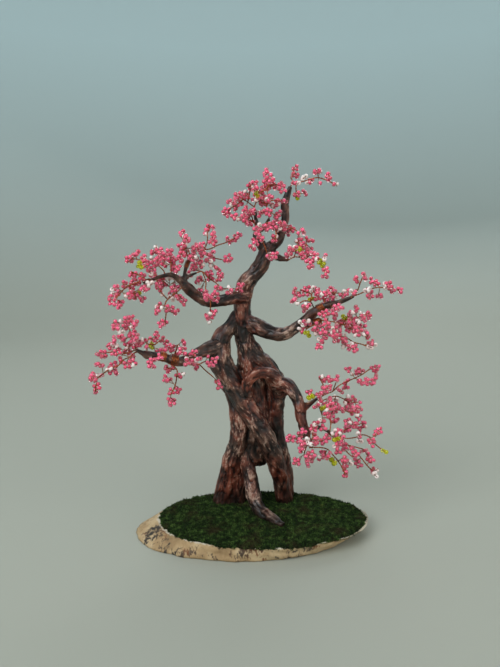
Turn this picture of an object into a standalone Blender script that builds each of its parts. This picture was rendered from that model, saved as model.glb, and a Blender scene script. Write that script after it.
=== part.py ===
"""Beaded cherry blossom bonsai: a handmade wire tree on an oval slice of birch.

Lengths in this file are millimetres and become metres when a mesh is made. The origin is the middle
of the slab's underside. +X is to the right, -Y is the front and +Z is up.
"""

import math
import random

import bmesh
import bpy
import numpy as np
from mathutils import Vector
from mathutils.bvhtree import BVHTree

MM = 0.001

# glass beads and copper wire
BEAD_DIAMETER = 2.3
LOOP_PITCH = 2.4  # from one bead of a loop to the next
LOOP_REACH = 4.2  # neighbouring beads up to this far apart share a loop
BEADS_PER_LOOP = 4
WIRE_RADIUS = 0.62  # a twisted bundle, to the corners of its three sides
WIRE_SIDES = 3
SIDE_WIRE_RADIUS = 0.56
SIDE_WIRE_TURN = 0.4  # radians, so that no side lies in a side of the wire it joins
STEM_FOOT_RADIUS = 0.28
WIRE_STEP = 5.0
WIRE_GAP = 0.12  # at least, between the corners of one spray's wires and another's
KNOT_CLEARANCE = 1.6  # no loop hangs on a wire nearer to another piece than this
SEAT_REACH = 2.5  # a wire that starts nearer than this to a branch's middle line starts on that line
LONG_STEM = 4.0
STEM_KNOT_SHARE = 0.2  # where further loops hang on a long stem
CORE_STEP = 1.0  # the steps in which branches, laid wires and their room are read
JOINT_STEP = 0.5
ROOM_STEP = 3.0
COIL_TURNS = 2
COIL_STEPS = 7
COIL_CLEARANCE = 0.45

# how a loop finds its depth: it is tried in front of and behind its wire, on the nearest knots
SPRAY_SEED = 7
FLATTEST_RING = 0.25  # the least and most that a tilted ring keeps of its width
ROUNDEST_RING = 0.97
STEM_LENGTHS = (4.5, 8.5)
SHORTEST_STEM = 1.5
LONGEST_STEM = 9.0
LEAST_DEPTH = 2.0
KNOTS_TRIED = 6
DEPTH_SHARES = (1, 0.7, 0.4, 0.1, -0.3, -0.6, -1, 1.5, -1.5, 2.0, -2.0)
STEM_PROBES = [k / 6 for k in range(1, 7)]
LOOP_CLEARANCE = 0.42
DEPTH_COST = 0.6
KNOT_COST = 0.8
LENGTH_COST = 0.35
CROWDING_COST = 2.5

# fineness of the modelled bodies
TRUNK_TRIANGLES = 1700
FEET_TRIANGLES = 320
SCULPT_GRAIN = 0.75
SCULPT_STEP = 2.5
SCULPT_SIDES = 10
SOFTENING = 0.5
SOFTENING_PASSES = 3
SLAB_POINTS = 32
MOSS_POINTS = 22
CLEARANCE = 0.32  # between pieces that rest on each other

# the start of a wire is looked for in steps along it, with probes round its rim
START_STEP = 0.1
SHORTEST_STEP = 1.0
RIM_ANGLES = [math.pi * k / 3 for k in range(6)]
PROBE = Vector((0.31, 0.17, 0.93)).normalized()
PROBE_STEP = 0.001 * MM
FAR = 99.0

# the angle and the edge length under which detail is dissolved, and how faces are cut into triangles
DISSOLVE_TRIES = (
    (0.04, 0.004, "BEAUTY"), (0.04, 0.004, "EAR_CLIP"), (0.0, 0.004, "BEAUTY"), (0.0, 0.004, "EAR_CLIP"),
    (0.0, 0.0, "BEAUTY"), (0.0, 0.0, "EAR_CLIP"),
)
MOST_LOST_TRIANGLES = 40  # in crumbs that the fusing leaves beside the body

# slab, moss and feet
SLAB_LENGTH = 122.0
SLAB_DEPTH = 67.0
SLAB_THICKNESS = 8.0
SLAB_SKEW = 12.5  # the log was sawn on the slant, so the top lies this far to the right
MOSS_LENGTH = SLAB_LENGTH - 1.0
MOSS_DEPTH = SLAB_DEPTH - 1.0
MOSS_THICKNESS = 3.0
MOSS_SEED = 3
SOLE_HEIGHT = SLAB_THICKNESS + CLEARANCE
OVAL_WAVES = ((3, 0.008, 1.0), (7, 0.006, 0.0))  # waves round the outline, their height and their shift
SLAB_RINGS = ((0.0, 0.5), (0.25, -0.3), (0.8, -0.3), (1.0, 0.5))  # share of the thickness, inset
# rings of the moss from its lower edge to its middle: share of the length, share of the height, bumps
MOSS_RINGS = (
    (0.985, 0.0, 0.0), (1.0, 0.35, 0.0), (0.97, 0.85, 0.35), (0.85, 1.0, 0.35), (0.6, 1.06, 0.35),
    (0.3, 1.04, 0.35),
)
MOSS_GAP = 0.9  # round the feet, under the moss fibres
FEET_TOP = 45.0  # strands are followed up to here where they pass through the moss

# the armature: the stem wires twisted into one bundle inside the trunk
BUNDLE_RADIUS = 1.5
BUNDLE_SIDES = 6
BORE_RADIUS = 2.15
BUNDLE_STEP = 12.0
BUNDLE_PATH = [
    (-4, 20, 4), (-2, 19, 24.5), (1, 18, 39.5), (4, 17, 52.5), (6, 17, 67), (6.5, 17, 80.5), (4.5, 15.5, 93),
    (2, 14.5, 104), (0.5, 14, 114.5), (0.5, 14, 124.5), (1, 14, 135), (4, 13, 144),
]

# the front view that the bead places are given in: they are read on the plane y = 0 from this eye
EYE = Vector((4.7, -305.0, 160.0))

# trunk strands, branches and roots: centre line and radius (x, y, z, r)
STRANDS = {
    "left_shoulder": [
        (-0.5, 15, 128, 4.1), (-6.5, 14, 120, 4.3), (-12.5, 12, 110.5, 5.8), (-12, 10, 99, 7.0),
        (-5.7, 9, 87, 6.2), (0.5, 8, 75.5, 6.1), (8, 7, 64, 5.9), (15.5, 8, 50.5, 5.6),
        (20.6, 12, 36.5, 5.5), (23.8, 17, 22, 5.0), (26.5, 20, 6, 5.2),
    ],
    "left_leg": [
        (-9, 14, 88.5, 5.3), (-3, 13, 75.5, 5.9), (-1, 12, 63.5, 6.1), (-2, 13, 51, 6.1),
        (-5.8, 15, 37.5, 6.2), (-9.2, 18, 23.5, 6.0), (-12.5, 20, 6, 6.8),
    ],
    "middle": [
        (0.5, 14, 124.5, 4.7), (0.5, 14, 114.5, 4.9), (2, 14, 104, 4.8), (3.5, 15, 94, 6.2),
        (7, 17, 80.5, 6.0), (6, 17, 67, 6.6), (4, 17, 52.5, 6.7), (1, 18, 39.5, 6.1),
        (-2, 19, 24.5, 5.6), (-4, 20, 6, 5.8),
    ],
    "right_strand": [
        (2, 15, 118, 3.4), (4.2, 15, 110, 3.8), (7.6, 14.5, 105, 4.3), (10.3, 14, 100.5, 4.6),
        (15, 13, 96, 5.2), (18, 12.5, 91, 5.6), (20.6, 12, 85.5, 5.3), (21.6, 14, 77.5, 4.4),
        (20.6, 15.5, 65, 4.3), (21.6, 16.5, 52, 4.3), (24.8, 19, 38.5, 4.3), (27.3, 22, 24.5, 4.1),
        (28.3, 23.5, 6, 4.6),
    ],
    "knob": [
        (3.5, 4, 80, 2.4), (3.5, 3, 88.5, 3.0), (8.5, 2, 94, 3.1), (15, 4, 93.5, 3.7),
        (21, 8, 88, 4.4), (24, 12, 79, 3.6),
    ],
    "front_root": [
        (1.5, 14, 44, 3.8), (4, 12, 32, 4.4), (6.5, 9, 21, 4.9), (8.5, 5, 14.5, 4.5),
        (12.2, -1, 11.5, 3.9), (17.5, -7.5, 11, 3.0), (23.5, -14.3, 10.6, 1.9),
    ],
    "core": [
        (5, 15.5, 106, 4.2), (7.5, 16.5, 97, 6.2), (8, 17, 88, 7.6), (9, 18, 72, 9.0), (9, 18, 55, 9.5),
        (9, 20, 42, 9.0), (10, 21.5, 34, 6.4),
    ],
    "back_root": [
        (8, 18, 74, 3.2), (5, 24, 55, 4.5), (2, 27, 30, 4.4), (1, 27.5, 6, 4.2),
    ],
    "back_strand_left": [
        (-6, 13, 95, 3.2), (-3, 18, 82, 4.4), (-2, 22, 66, 4.6), (-2.5, 23, 48, 4.4),
        (-5, 23, 29, 4.2), (-9, 22, 6, 4.2),
    ],
    "back_strand_right": [
        (12, 16, 96, 3.2), (16, 19.5, 82, 4.3), (19, 22.5, 66, 4.2), (21.5, 22.5, 48, 3.8),
        (24.5, 24, 28, 3.6), (26.5, 24.5, 6, 4.0),
    ],
    "upper_trunk": [
        (0.5, 14, 122, 5.2), (0.5, 14, 135, 5.0), (2.6, 13, 144, 5.2), (9, 12, 152, 4.6),
        (13, 11, 159.5, 4.5), (15, 10, 165, 4.0),
    ],
    "crown_left": [
        (12.5, 10, 165, 3.0), (8.5, 9, 170, 2.5), (9, 9, 175, 1.8), (8, 8, 181, 1.2), (7, 7, 187, 0.9),
    ],
    "crown_heart": [(11, 10, 174, 1.2), (14, 11, 178.5, 1.0), (15.5, 11, 181, 0.9)],
    "crown_right": [
        (16, 10, 164.5, 3.6), (21, 10, 169, 2.9), (22.5, 11, 175, 2.7), (24.2, 12, 181, 2.5),
        (24.3, 13, 188, 2.4), (25.6, 14, 194, 1.9), (27.6, 14, 199, 1.2),
    ],
    "upper_right": [(16, 10, 162.5, 3.2), (21, 9, 159, 2.0), (26.5, 8, 158, 1.0)],
    "high_left": [
        (2.5, 12, 136.5, 4.4), (-3.5, 9, 137, 3.9), (-10, 6, 135.5, 3.3), (-17, 3, 134.5, 3.1),
        (-23.5, 0, 137, 3.1), (-28.5, -3, 142, 3.1), (-33, -5, 147, 1.9), (-38, -6, 150, 1.4),
        (-44, -7, 149, 1.1), (-49, -8, 147, 1.0), (-53, -9.5, 146, 0.9),
    ],
    "high_left_up": [
        (-30.5, -4, 144, 2.0), (-31, -4, 149, 1.3), (-30, -4, 154, 1.1), (-28.5, -4, 158.5, 0.9),
    ],
    "high_left_side": [(-30.8, -4, 148, 1.0), (-27.5, -2, 149.8, 0.9), (-24.5, 0, 151, 0.8)],
    "low_left": [
        (-14.5, 10, 108, 5.4), (-21, 5, 106.5, 4.2), (-27, 0, 104.5, 3.2), (-33, -4, 102, 2.9),
        (-39.5, -7, 104, 2.6), (-44.5, -9, 106, 2.2), (-50, -10, 106.5, 2.4), (-53.5, -11, 108, 1.6),
        (-57, -12, 110, 0.9),
    ],
    "right_mid": [
        (4, 14, 122, 4.9), (10, 11, 119, 5.2), (16, 8, 117, 4.6), (22.5, 5, 116, 3.8),
        (28.5, 3, 118.5, 3.3), (34.5, 1, 123.5, 3.2), (40, -1, 129, 2.7), (46.5, -2, 133, 2.1),
        (54, -3, 135, 1.5), (62, -4, 138.5, 0.9),
    ],
    "right_mid_stub": [(34.5, 0, 123, 2.8), (39, -4, 123.5, 2.0), (43, -7, 125.5, 1.1)],
    "low_right": [
        (21, 8, 87, 4.8), (26.5, 5, 86, 4.3), (31, 2, 80.5, 3.8), (33.3, 0, 74, 3.3),
        (34.2, -2, 67, 2.9), (36, -4, 60.5, 2.5), (38, -6, 56.5, 1.6), (39.5, -8, 53.5, 1.0),
    ],
    "low_right_lump": [(34.5, 0, 74.5, 2.4), (39, 3.5, 75.5, 1.7), (44, 7, 78, 1.0)],
    "low_right_side": [(36.5, -3, 60, 2.0), (41, -2, 63, 1.6), (46, 0, 62.5, 1.2), (51.5, 2, 58.5, 1.0)],
}

# sprays that are wound round their branch: the strand, and the stretch of its length that they cover
COILS = {
    "left_top_right": ("high_left_up", 0.64, 0.92),
    "left_far": ("high_left", 0.935, 0.985),
    "low_left_hanger": ("low_left", 0.52, 0.60),
    "low_left_front": ("low_left", 0.66, 0.73),
    "right_low_mid": ("right_mid", 0.68, 0.74),
    "right_mid_front": ("right_mid_stub", 0.74, 0.97),
    "low_right_tip": ("low_right", 0.89, 0.95),
}

# sprays: wires (x, y, z) from the branch outwards, and the places of the beads by colour (x, z)
SPRAYS = {
    "apex": {
        "wires": [
            [
                (28, 14, 198.5), (29, 13, 201), (31, 12, 201), (35, 11, 201.5), (38.5, 9, 202.5),
                (42.5, 8, 203), (46.5, 6, 201.5), (50, 4, 199.5),
            ],
            [(31, 12, 201), (30.5, 12, 198), (31, 12, 194.5)],
            [(29, 13, 201), (27.5, 13, 204)],
        ],
        "pink": [
            (26.5, 205), (27, 203), (25, 199.5), (28, 198.5), (30.5, 201.5), (32, 203.5), (33.5, 199.5),
            (34.5, 198.5), (36.5, 204), (37, 201.5), (37, 199), (39, 200.5), (40.5, 205), (42, 206.5),
            (44, 205), (46, 205.5), (46, 203.5), (42.5, 199), (48.5, 201), (47, 199), (50, 198.5),
            (33.5, 195), (35, 193), (31.5, 199),
        ],
        "white": [
            (32.5, 201), (35, 203), (42.5, 205), (51.5, 198.5),
        ],
        "green": [
            (29, 192.5), (31, 193.5), (30.5, 191),
        ],
    },
    "crown_top": {
        "wires": [
            [(7.5, 7, 187.5), (8.5, 6, 190.5), (10.5, 5, 194.5), (14, 5, 197), (17, 6, 199), (21, 8, 199)],
            [(14, 5, 197), (15.5, 4, 200.5)],
        ],
        "pink": [
            (13.5, 201.5), (14, 198.5), (16, 203.5), (12, 199.5), (15.5, 198.5), (11, 196.5),
            (12.5, 197.5), (15, 196), (17.5, 199), (18.5, 197), (20.5, 199.5), (22.5, 199.5), (21, 197.5),
            (19.5, 194), (17, 195), (15.5, 193), (13, 192.5), (10.5, 190), (13.5, 190), (15, 190.5),
            (8, 197.5), (19.5, 195.5), (16.5, 191),
        ],
        "white": [
            (17, 201.5),
        ],
        "green": [
            (8, 195.5), (8, 193.5), (9, 191.5),
        ],
    },
    "crown_left": {
        "wires": [
            [(6.5, 7, 187), (3.5, 5, 189.5), (1, 4, 191), (-1.5, 3, 192.5)],
            [(3.5, 5, 189.5), (4.5, 3, 194.5), (5, 2, 198.5)],
            [(1, 4, 191), (-3, 2, 187.5), (-6.5, 1, 185.5)],
        ],
        "pink": [
            (3, 198), (5, 199.5), (6.5, 197), (4.5, 194.5), (2, 191.5), (4, 193), (0, 194.5), (-2.5, 193),
            (2, 194), (-6, 190.5), (-8, 189), (-5.5, 188), (-9, 185.5), (-7.5, 183), (-10, 184),
            (-6.5, 185.5), (-3, 187.5), (-0.5, 189.5), (1, 188), (0, 186), (2.5, 186), (1.5, 184.5),
            (-3.5, 185),
        ],
        "white": [
            (-0.5, 191),
        ],
    },
    "crown_heart": {
        "wires": [
            [(15, 11, 181), (14.5, 7, 184.5), (14, 4, 188), (16, 3, 190), (19.5, 4, 190.5)],
        ],
        "pink": [
            (21, 191), (20, 188), (9, 188.5), (11, 187), (14.5, 186), (19, 185.5), (21.5, 184.5),
            (13, 188.5), (16, 184.5), (13, 182.5), (9.5, 181.5), (16, 181.5), (19, 183), (20.5, 181.5),
            (11, 191), (18, 190.5), (14.5, 188.5),
        ],
        "white": [
            (16.5, 187), (10, 184), (8, 190),
        ],
    },
    "crown_low_left": {
        "wires": [
            [(7.5, 9, 173.5), (8, 6, 176.5), (6.5, 4, 179), (3.5, 3, 179.5), (1, 2, 179)],
            [(6.5, 4, 179), (5, 2, 183.5)],
        ],
        "pink": [
            (0.5, 181), (1.5, 179), (3.5, 178.5), (2, 176), (6, 176.5), (4.5, 180), (6, 184), (3.5, 182),
            (7.5, 183), (6, 186), (7.5, 179), (3, 177),
        ],
        "white": [
            (-2, 180),
        ],
    },
    "crown_low_right": {
        "wires": [
            [(21, 11, 175), (18.5, 6, 177.5), (15.5, 4, 178.5), (12.5, 2, 177.5)],
            [(18.5, 6, 177.5), (19, 1, 173), (18.5, 0, 169)],
        ],
        "pink": [
            (11, 178), (12, 175), (14, 176), (18, 176), (15.5, 174), (17.5, 172), (19, 171), (18.5, 180),
            (15.5, 177.5), (13.5, 174), (16, 167.5), (19.5, 168), (21, 178.5),
        ],
        "white": [
            (19.5, 173.5),
        ],
    },
    "crown_front": {
        "wires": [
            [(11.5, 8, 166), (11.5, 4, 168.5), (13, 0, 165), (14, -1, 161.5)],
            [(11.5, 4, 168.5), (8.5, 1, 169.5)],
            [(11.5, 4, 168.5), (10.5, 1, 173), (9.5, 1, 176.5)],
        ],
        "pink": [
            (5, 169), (7.5, 169.5), (8, 167), (5, 165.5), (7, 164), (9.5, 165), (14, 160), (17, 159),
            (9.5, 177.5), (10.5, 174),
        ],
        "white": [
            (15.5, 161.5),
        ],
    },
    "crown_right": {
        "wires": [
            [(24, 12, 177.5), (26, 9, 177), (29, 8, 175), (31, 7, 174)],
        ],
        "pink": [
            (23, 179), (25.5, 177.5), (23, 174), (24.5, 172.5), (26, 173.5), (27.5, 173.5), (30, 174.5),
            (31, 172.5), (22, 176.5),
        ],
        "white": [
            (31.5, 173),
        ],
    },
    "upper_right": {
        "wires": [
            [
                (27.5, 8, 158), (29.5, 7, 159.5), (32, 6, 159.5), (36, 4, 158.5), (39.5, 3, 158),
                (43, 2, 157), (46, 1, 154.5),
            ],
            [(29.5, 7, 159.5), (30.5, 5, 163.5), (31, 4, 166.5)],
            [(32, 6, 159.5), (35, 8, 163.5), (36.5, 9, 167.5)],
        ],
        "pink": [
            (24, 161), (25.5, 160), (25, 162.5), (27.5, 161.5), (27, 160), (29.5, 164.5), (31, 166.5),
            (29, 163), (33.5, 166), (33.5, 168), (35.5, 170), (36, 165.5), (37, 163.5), (35.5, 163.5),
            (36.5, 161), (33.5, 160), (35, 160), (34.5, 162.5), (38, 160.5), (36, 157), (37, 158),
            (37.5, 156.5), (34.5, 157.5), (39, 157), (40, 158.5), (41.5, 158.5), (45, 152.5),
            (47.5, 153.5), (47.5, 151.5), (31.5, 161.5),
        ],
        "white": [
            (30, 168), (32, 161), (39.5, 159.5),
        ],
        "green": [
            (32, 163.5), (31, 164), (43, 156.5), (43.5, 157.5), (45.5, 156), (44, 155),
        ],
    },
    "left_top_right": {
        "wires": [
            [
                (-28.5, -3, 160.5), (-25, -1, 162.5), (-21, 2, 163.5), (-17.5, 4, 164), (-13.5, 6, 166),
                (-9, 8, 167.5), (-4.5, 9, 169.5),
            ],
            [(-21, 2, 163.5), (-19, 2, 167), (-18.5, 1, 171)],
            [(-21, 2, 163.5), (-16.5, 6, 159.5), (-11, 9, 158)],
        ],
        "pink": [
            (-20, 176), (-17, 174.5), (-19, 172.5), (-17, 170), (-15.5, 167), (-17.5, 166.5),
            (-20.5, 167.5), (-22.5, 166.5), (-20.5, 170), (-13, 167.5), (-8, 171.5), (-4.5, 170.5),
            (-6, 168), (-5.5, 165.5), (-8.5, 169), (-2, 173), (0.5, 171.5), (-2, 170), (-13.5, 163),
            (-15.5, 163.5), (-9, 157.5), (-6.5, 157.5), (-19, 160), (-15, 157), (-17.5, 157),
            (-20, 161.5), (-21.5, 163.5), (-20, 157), (-24, 165), (-22, 159.5), (-22.5, 161.5),
            (-20, 158.5), (-17.5, 160.5), (-23.5, 156.5), (-21, 165),
        ],
        "white": [
            (-17, 154.5), (-25, 159.5),
        ],
    },
    "left_top_left": {
        "wires": [
            [(-29.5, -4, 161), (-29.5, -6, 164.5), (-28.5, -7, 168)],
        ],
        "pink": [
            (-32, 172.5), (-30.5, 171), (-28, 169), (-26.5, 166.5), (-28.5, 166.5), (-32, 164),
            (-33, 162.5), (-31, 161.5), (-34, 159), (-32, 157), (-34, 157), (-27, 162.5), (-25.5, 164.5),
            (-26, 160), (-27.5, 158.5), (-31, 159), (-35, 160.5),
        ],
        "white": [
            (-31.5, 170.5), (-29.5, 163),
        ],
    },
    "left_far_top": {
        "wires": [
            [
                (-42, -7, 152.5), (-45, -9, 155.5), (-48.5, -10, 157), (-52, -11, 157.5),
                (-55.5, -11, 158.5), (-58, -12, 158.5),
            ],
            [(-45, -9, 155.5), (-43, -6, 160), (-45.5, -5, 164.5)],
            [(-52, -11, 157.5), (-53, -12, 155)],
        ],
        "pink": [
            (-44.5, 163), (-42.5, 161), (-41.5, 159), (-52.5, 160.5), (-53, 158), (-54, 156),
            (-63.5, 159.5), (-60.5, 159), (-63, 157), (-60, 157), (-58.5, 160.5), (-56.5, 162.5),
            (-55.5, 159.5), (-49.5, 157), (-48.5, 154.5), (-46, 156), (-47.5, 157.5), (-44, 157),
            (-50.5, 154), (-47.5, 152.5),
        ],
        "white": [
            (-47, 165), (-49.5, 159),
        ],
        "green": [
            (-57, 154.5), (-55, 154), (-56, 156.5),
        ],
    },
    "left_mid_top": {
        "wires": [
            [(-38, -5, 152), (-38.5, -2, 156), (-39, 0, 160)],
        ],
        "pink": [
            (-40.5, 163.5), (-38, 163.5), (-39, 161), (-37, 160), (-41, 160.5), (-39.5, 158.5),
            (-37, 157.5), (-41, 157), (-39, 155), (-36, 154.5), (-35, 153), (-37.5, 153.5), (-42, 154.5),
            (-34, 154.5),
        ],
    },
    "left_far": {
        "wires": [
            [
                (-52.5, -10, 147.5), (-55.5, -10, 146), (-60, -11, 144.5), (-63.5, -12, 141.5),
                (-67, -13, 137.5),
            ],
            [(-60, -11, 144.5), (-58, -9, 140.5), (-56.5, -8, 137)],
            [(-52.5, -10, 147.5), (-54, -13, 150), (-57.5, -15, 152)],
        ],
        "pink": [
            (-61, 151), (-58.5, 151), (-55.5, 152), (-57.5, 149), (-62.5, 149), (-65.5, 147.5),
            (-63.5, 146), (-67, 145), (-69.5, 143.5), (-64.5, 143.5), (-60.5, 147.5), (-55, 148.5),
            (-52.5, 149), (-71, 141.5), (-73, 140.5), (-67.5, 141.5), (-68.5, 139), (-65, 141),
            (-62.5, 141.5), (-59, 141.5), (-73.5, 136), (-72, 132.5), (-69.5, 135.5), (-72.5, 135.5),
            (-69, 137.5), (-66, 135), (-62, 138.5), (-58.5, 136.5), (-55.5, 142), (-52.5, 141.5),
            (-56, 145.5), (-60, 144), (-54, 143.5), (-70.5, 138.5),
        ],
        "white": [
            (-64, 138), (-51, 144), (-49.5, 145.5), (-52, 145.5),
        ],
        "green": [
            (-56.5, 140),
        ],
    },
    "left_mid": {
        "wires": [
            [(-44.5, -8, 150), (-42.5, -4, 146.5), (-39.5, 0, 143), (-37, 1, 140.5)],
            [(-42.5, -4, 146.5), (-46, -3, 145)],
        ],
        "pink": [
            (-47.5, 148.5), (-46, 144), (-44, 151), (-41.5, 149.5), (-42.5, 146), (-44, 143),
            (-35.5, 149), (-34, 147), (-32.5, 148), (-29.5, 149.5), (-39, 146.5), (-37, 145),
            (-39.5, 142), (-36.5, 142.5), (-37.5, 138.5), (-32.5, 145), (-34, 142), (-40, 148),
            (-46.5, 146.5), (-44.5, 147.5), (-41, 144), (-49.5, 147.5), (-48, 151),
        ],
        "white": [
            (-38, 148.5),
        ],
    },
    "left_hanger": {
        "wires": [
            [
                (-32.5, -6, 143), (-35, -9, 140.5), (-39.5, -10, 137), (-41, -10, 134), (-40.5, -10, 130),
                (-41, -10, 126),
            ],
            [(-39.5, -10, 137), (-42.5, -11, 140.5)],
            [(-35, -9, 140.5), (-32.5, -9, 138)],
        ],
        "pink": [
            (-47, 132), (-45, 134), (-41, 130.5), (-38, 132.5), (-38.5, 129), (-44.5, 124.5),
            (-41.5, 123.5), (-44, 122), (-45, 141), (-34.5, 136.5), (-32.5, 136.5), (-33.5, 138.5),
            (-37.5, 138),
        ],
        "white": [
            (-44.5, 131.5), (-44, 139), (-39.5, 137.5), (-38.5, 136.5),
        ],
    },
    "left_lower_right": {
        "wires": [
            [
                (-24.5, 0, 153), (-21.5, 1, 151.5), (-18, 0, 148), (-14, -2, 145.5), (-10.5, -3, 142.5),
                (-6, -4, 142.5), (-2, -2, 142),
            ],
            [(-21.5, 1, 151.5), (-19.5, -2, 146), (-19.5, -5, 140.5), (-17, -6, 135.5), (-17, -6, 130.5)],
        ],
        "pink": [
            (-23, 149), (-21.5, 147.5), (-20, 151.5), (-23.5, 147), (-18.5, 149), (-17, 150.5),
            (-15.5, 151.5), (-12.5, 148.5), (-10, 149), (-11.5, 147), (-14.5, 146), (-16, 144),
            (-15, 142), (-11, 142.5), (-8.5, 141.5), (-3, 142), (-1, 142), (0.5, 140.5), (-24, 144),
            (-24.5, 142), (-22, 142), (-22.5, 140), (-21, 137), (-18, 137.5), (-19, 135.5), (-19.5, 139),
            (-16, 138), (-13, 137), (-15.5, 136), (-13.5, 135), (-15.5, 127.5), (-17.5, 125.5),
            (-27, 155), (-27.5, 153),
        ],
        "white": [
            (-7, 143), (-17.5, 128.5), (-18, 123.5), (-25, 154.5),
        ],
    },
    "low_left_top": {
        "wires": [
            [(-57, -12, 110), (-57.5, -13, 114), (-58.5, -14, 118.5), (-60, -14, 122), (-62, -14, 124)],
        ],
        "pink": [
            (-65.5, 124.5), (-65.5, 122), (-63.5, 122), (-60.5, 123.5), (-58, 118.5), (-70, 117.5),
            (-65, 119), (-67.5, 115), (-63.5, 114.5), (-61, 117), (-62, 112.5), (-65, 111.5),
            (-66, 113.5), (-63, 118), (-64.5, 109),
        ],
        "white": [
            (-67.5, 124), (-61.5, 121), (-68.5, 118.5), (-67, 118),
        ],
    },
    "low_left_far": {
        "wires": [
            [(-57.5, -12, 109.5), (-61.5, -10, 108), (-66.5, -9, 107), (-70.5, -8, 108), (-75, -8, 107.5)],
            [(-66.5, -9, 107), (-69.5, -6, 111)],
        ],
        "pink": [
            (-70.5, 113), (-72, 110.5), (-74.5, 108.5), (-77.5, 107), (-81.5, 105.5), (-78.5, 104.5),
            (-76.5, 104), (-73, 105.5), (-66, 108), (-65, 105), (-62, 107), (-61, 105), (-62, 102.5),
            (-68.5, 103), (-68, 101), (-74.5, 106), (-63.5, 109.5), (-79, 107), (-64.5, 107),
        ],
        "white": [
            (-70, 110),
        ],
    },
    "low_left_drop": {
        "wires": [
            [
                (-57.5, -11, 108), (-60.5, -13, 106), (-63, -15, 105), (-66, -16, 102), (-70, -17, 100.5),
                (-73.5, -18, 98), (-76.5, -18, 95.5), (-77.5, -18, 91.5), (-78, -18, 88),
            ],
        ],
        "pink": [
            (-83, 99), (-81, 101), (-80.5, 98.5), (-77, 98.5), (-76.5, 97), (-75, 99), (-74, 93.5),
            (-73, 95), (-71, 94), (-71.5, 96.5), (-67, 100.5), (-65.5, 98), (-62.5, 97.5), (-63.5, 100.5),
            (-85.5, 92.5), (-86, 90), (-83.5, 90), (-82, 90.5), (-82, 86), (-83.5, 82.5),
        ],
        "white": [
            (-74, 97), (-81.5, 93),
        ],
    },
    "low_left_mid": {
        "wires": [
            [(-52, -6, 109), (-52.5, -4, 112), (-51.5, -3, 115)],
            [(-52.5, -4, 112), (-49, -2, 111), (-46, 0, 113)],
        ],
        "pink": [
            (-58, 112.5), (-55.5, 114.5), (-56, 111.5), (-52.5, 115.5), (-51, 114), (-53, 113.5),
            (-53.5, 109.5), (-47.5, 112.5), (-45, 113), (-44, 114.5), (-49.5, 107), (-47.5, 105.5),
            (-45.5, 106.5), (-46, 103), (-48.5, 112.5),
        ],
        "green": [
            (-50.5, 111), (-50.5, 109.5),
        ],
    },
    "low_left_front": {
        "wires": [
            [(-47, -13, 105.5), (-47.5, -16, 104.5), (-49, -17, 104)],
        ],
        "pink": [
            (-53.5, 100.5), (-51, 102), (-49.5, 102.5), (-47, 103), (-50, 100.5),
        ],
    },
    "low_left_near": {
        "wires": [
            [(-37.5, -2, 105.5), (-36.5, -4, 108.5), (-35, -5, 111.5)],
        ],
        "pink": [
            (-39.5, 111.5), (-37.5, 110.5), (-33, 113.5), (-32, 110.5), (-40.5, 105.5), (-38.5, 107),
            (-34.5, 106), (-32.5, 105.5), (-30, 105.5), (-36, 107),
        ],
        "white": [
            (-35.5, 111.5), (-35, 109), (-37, 105.5),
        ],
    },
    "low_left_hanger": {
        "wires": [
            [(-35.5, -9, 101), (-35, -12, 99), (-35, -13, 95.5), (-36, -13, 90.5), (-38.5, -13, 85)],
        ],
        "pink": [
            (-44.5, 97.5), (-42, 99), (-41, 97), (-41, 93.5), (-40.5, 91), (-42.5, 90), (-37, 93.5),
            (-34.5, 92.5), (-37.5, 86), (-34.5, 85.5), (-36.5, 82.5), (-42, 80), (-39.5, 79), (-41, 76.5),
        ],
        "white": [
            (-33, 94),
        ],
    },
    "low_left_right": {
        "wires": [
            [(-31, -7, 101), (-27.5, -9, 101), (-23.5, -8, 101), (-20, -5, 97), (-16, -3, 93)],
            [(-27.5, -9, 101), (-26, -12, 105.5), (-25.5, -12, 108)],
            [(-23.5, -8, 101), (-20, -7, 102.5), (-17.5, -5, 101.5)],
        ],
        "pink": [
            (-15, 89.5), (-13, 90.5), (-12.5, 87.5), (-28, 107), (-25, 107), (-29, 105), (-26.5, 105),
            (-28, 102.5), (-29, 100.5), (-26, 99), (-21, 101), (-19, 104), (-18.5, 100), (-15.5, 100),
            (-16, 97.5),
        ],
        "white": [
            (-31, 103), (-28, 99),
        ],
    },
    "right_mid_near": {
        "wires": [
            [(39.5, -1, 132.5), (38, -4, 135), (34.5, -6, 136), (32, -7, 135)],
            [(38, -4, 135), (38.5, -3, 139), (35.5, -4, 140.5), (32, -6, 142)],
        ],
        "pink": [
            (29, 135), (32, 133), (37, 133), (35.5, 131), (29.5, 138.5), (32, 140.5), (34, 142),
            (34, 137.5), (35.5, 140), (39.5, 143), (41.5, 141.5), (38, 140), (33.5, 139), (39.5, 134),
        ],
        "white": [
            (31, 134), (36.5, 138), (39, 141),
        ],
        "green": [
            (37.5, 136), (39, 137), (41, 136.5),
        ],
    },
    "right_mid_front": {
        "wires": [
            [(35.5, -4, 122), (35.5, -7, 120.5), (36, -8, 118.5)],
            [(35.5, -7, 120.5), (34.5, -10, 124.5)],
        ],
        "pink": [
            (35, 123.5), (37, 124.5), (38, 122.5), (36, 123),
        ],
        "white": [
            (32.5, 124), (34.5, 122),
        ],
        "green": [
            (35.5, 117.5), (37, 118), (38, 115.5),
        ],
    },
    "right_mid_top": {
        "wires": [
            [(44.5, -2, 134), (46.5, 1, 137), (48.5, 3, 140), (52.5, 4, 139.5), (57, 5, 139.5)],
        ],
        "pink": [
            (44, 137), (47, 137.5), (48.5, 143), (50, 142.5), (47.5, 135.5), (49.5, 138.5), (51, 136),
            (53, 140), (54.5, 139), (57.5, 139), (56.5, 137), (46.5, 132.5), (49, 134), (51, 141.5),
        ],
        "white": [
            (44.5, 139), (52.5, 137.5),
        ],
    },
    "right_mid_sprig": {
        "wires": [
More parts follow.
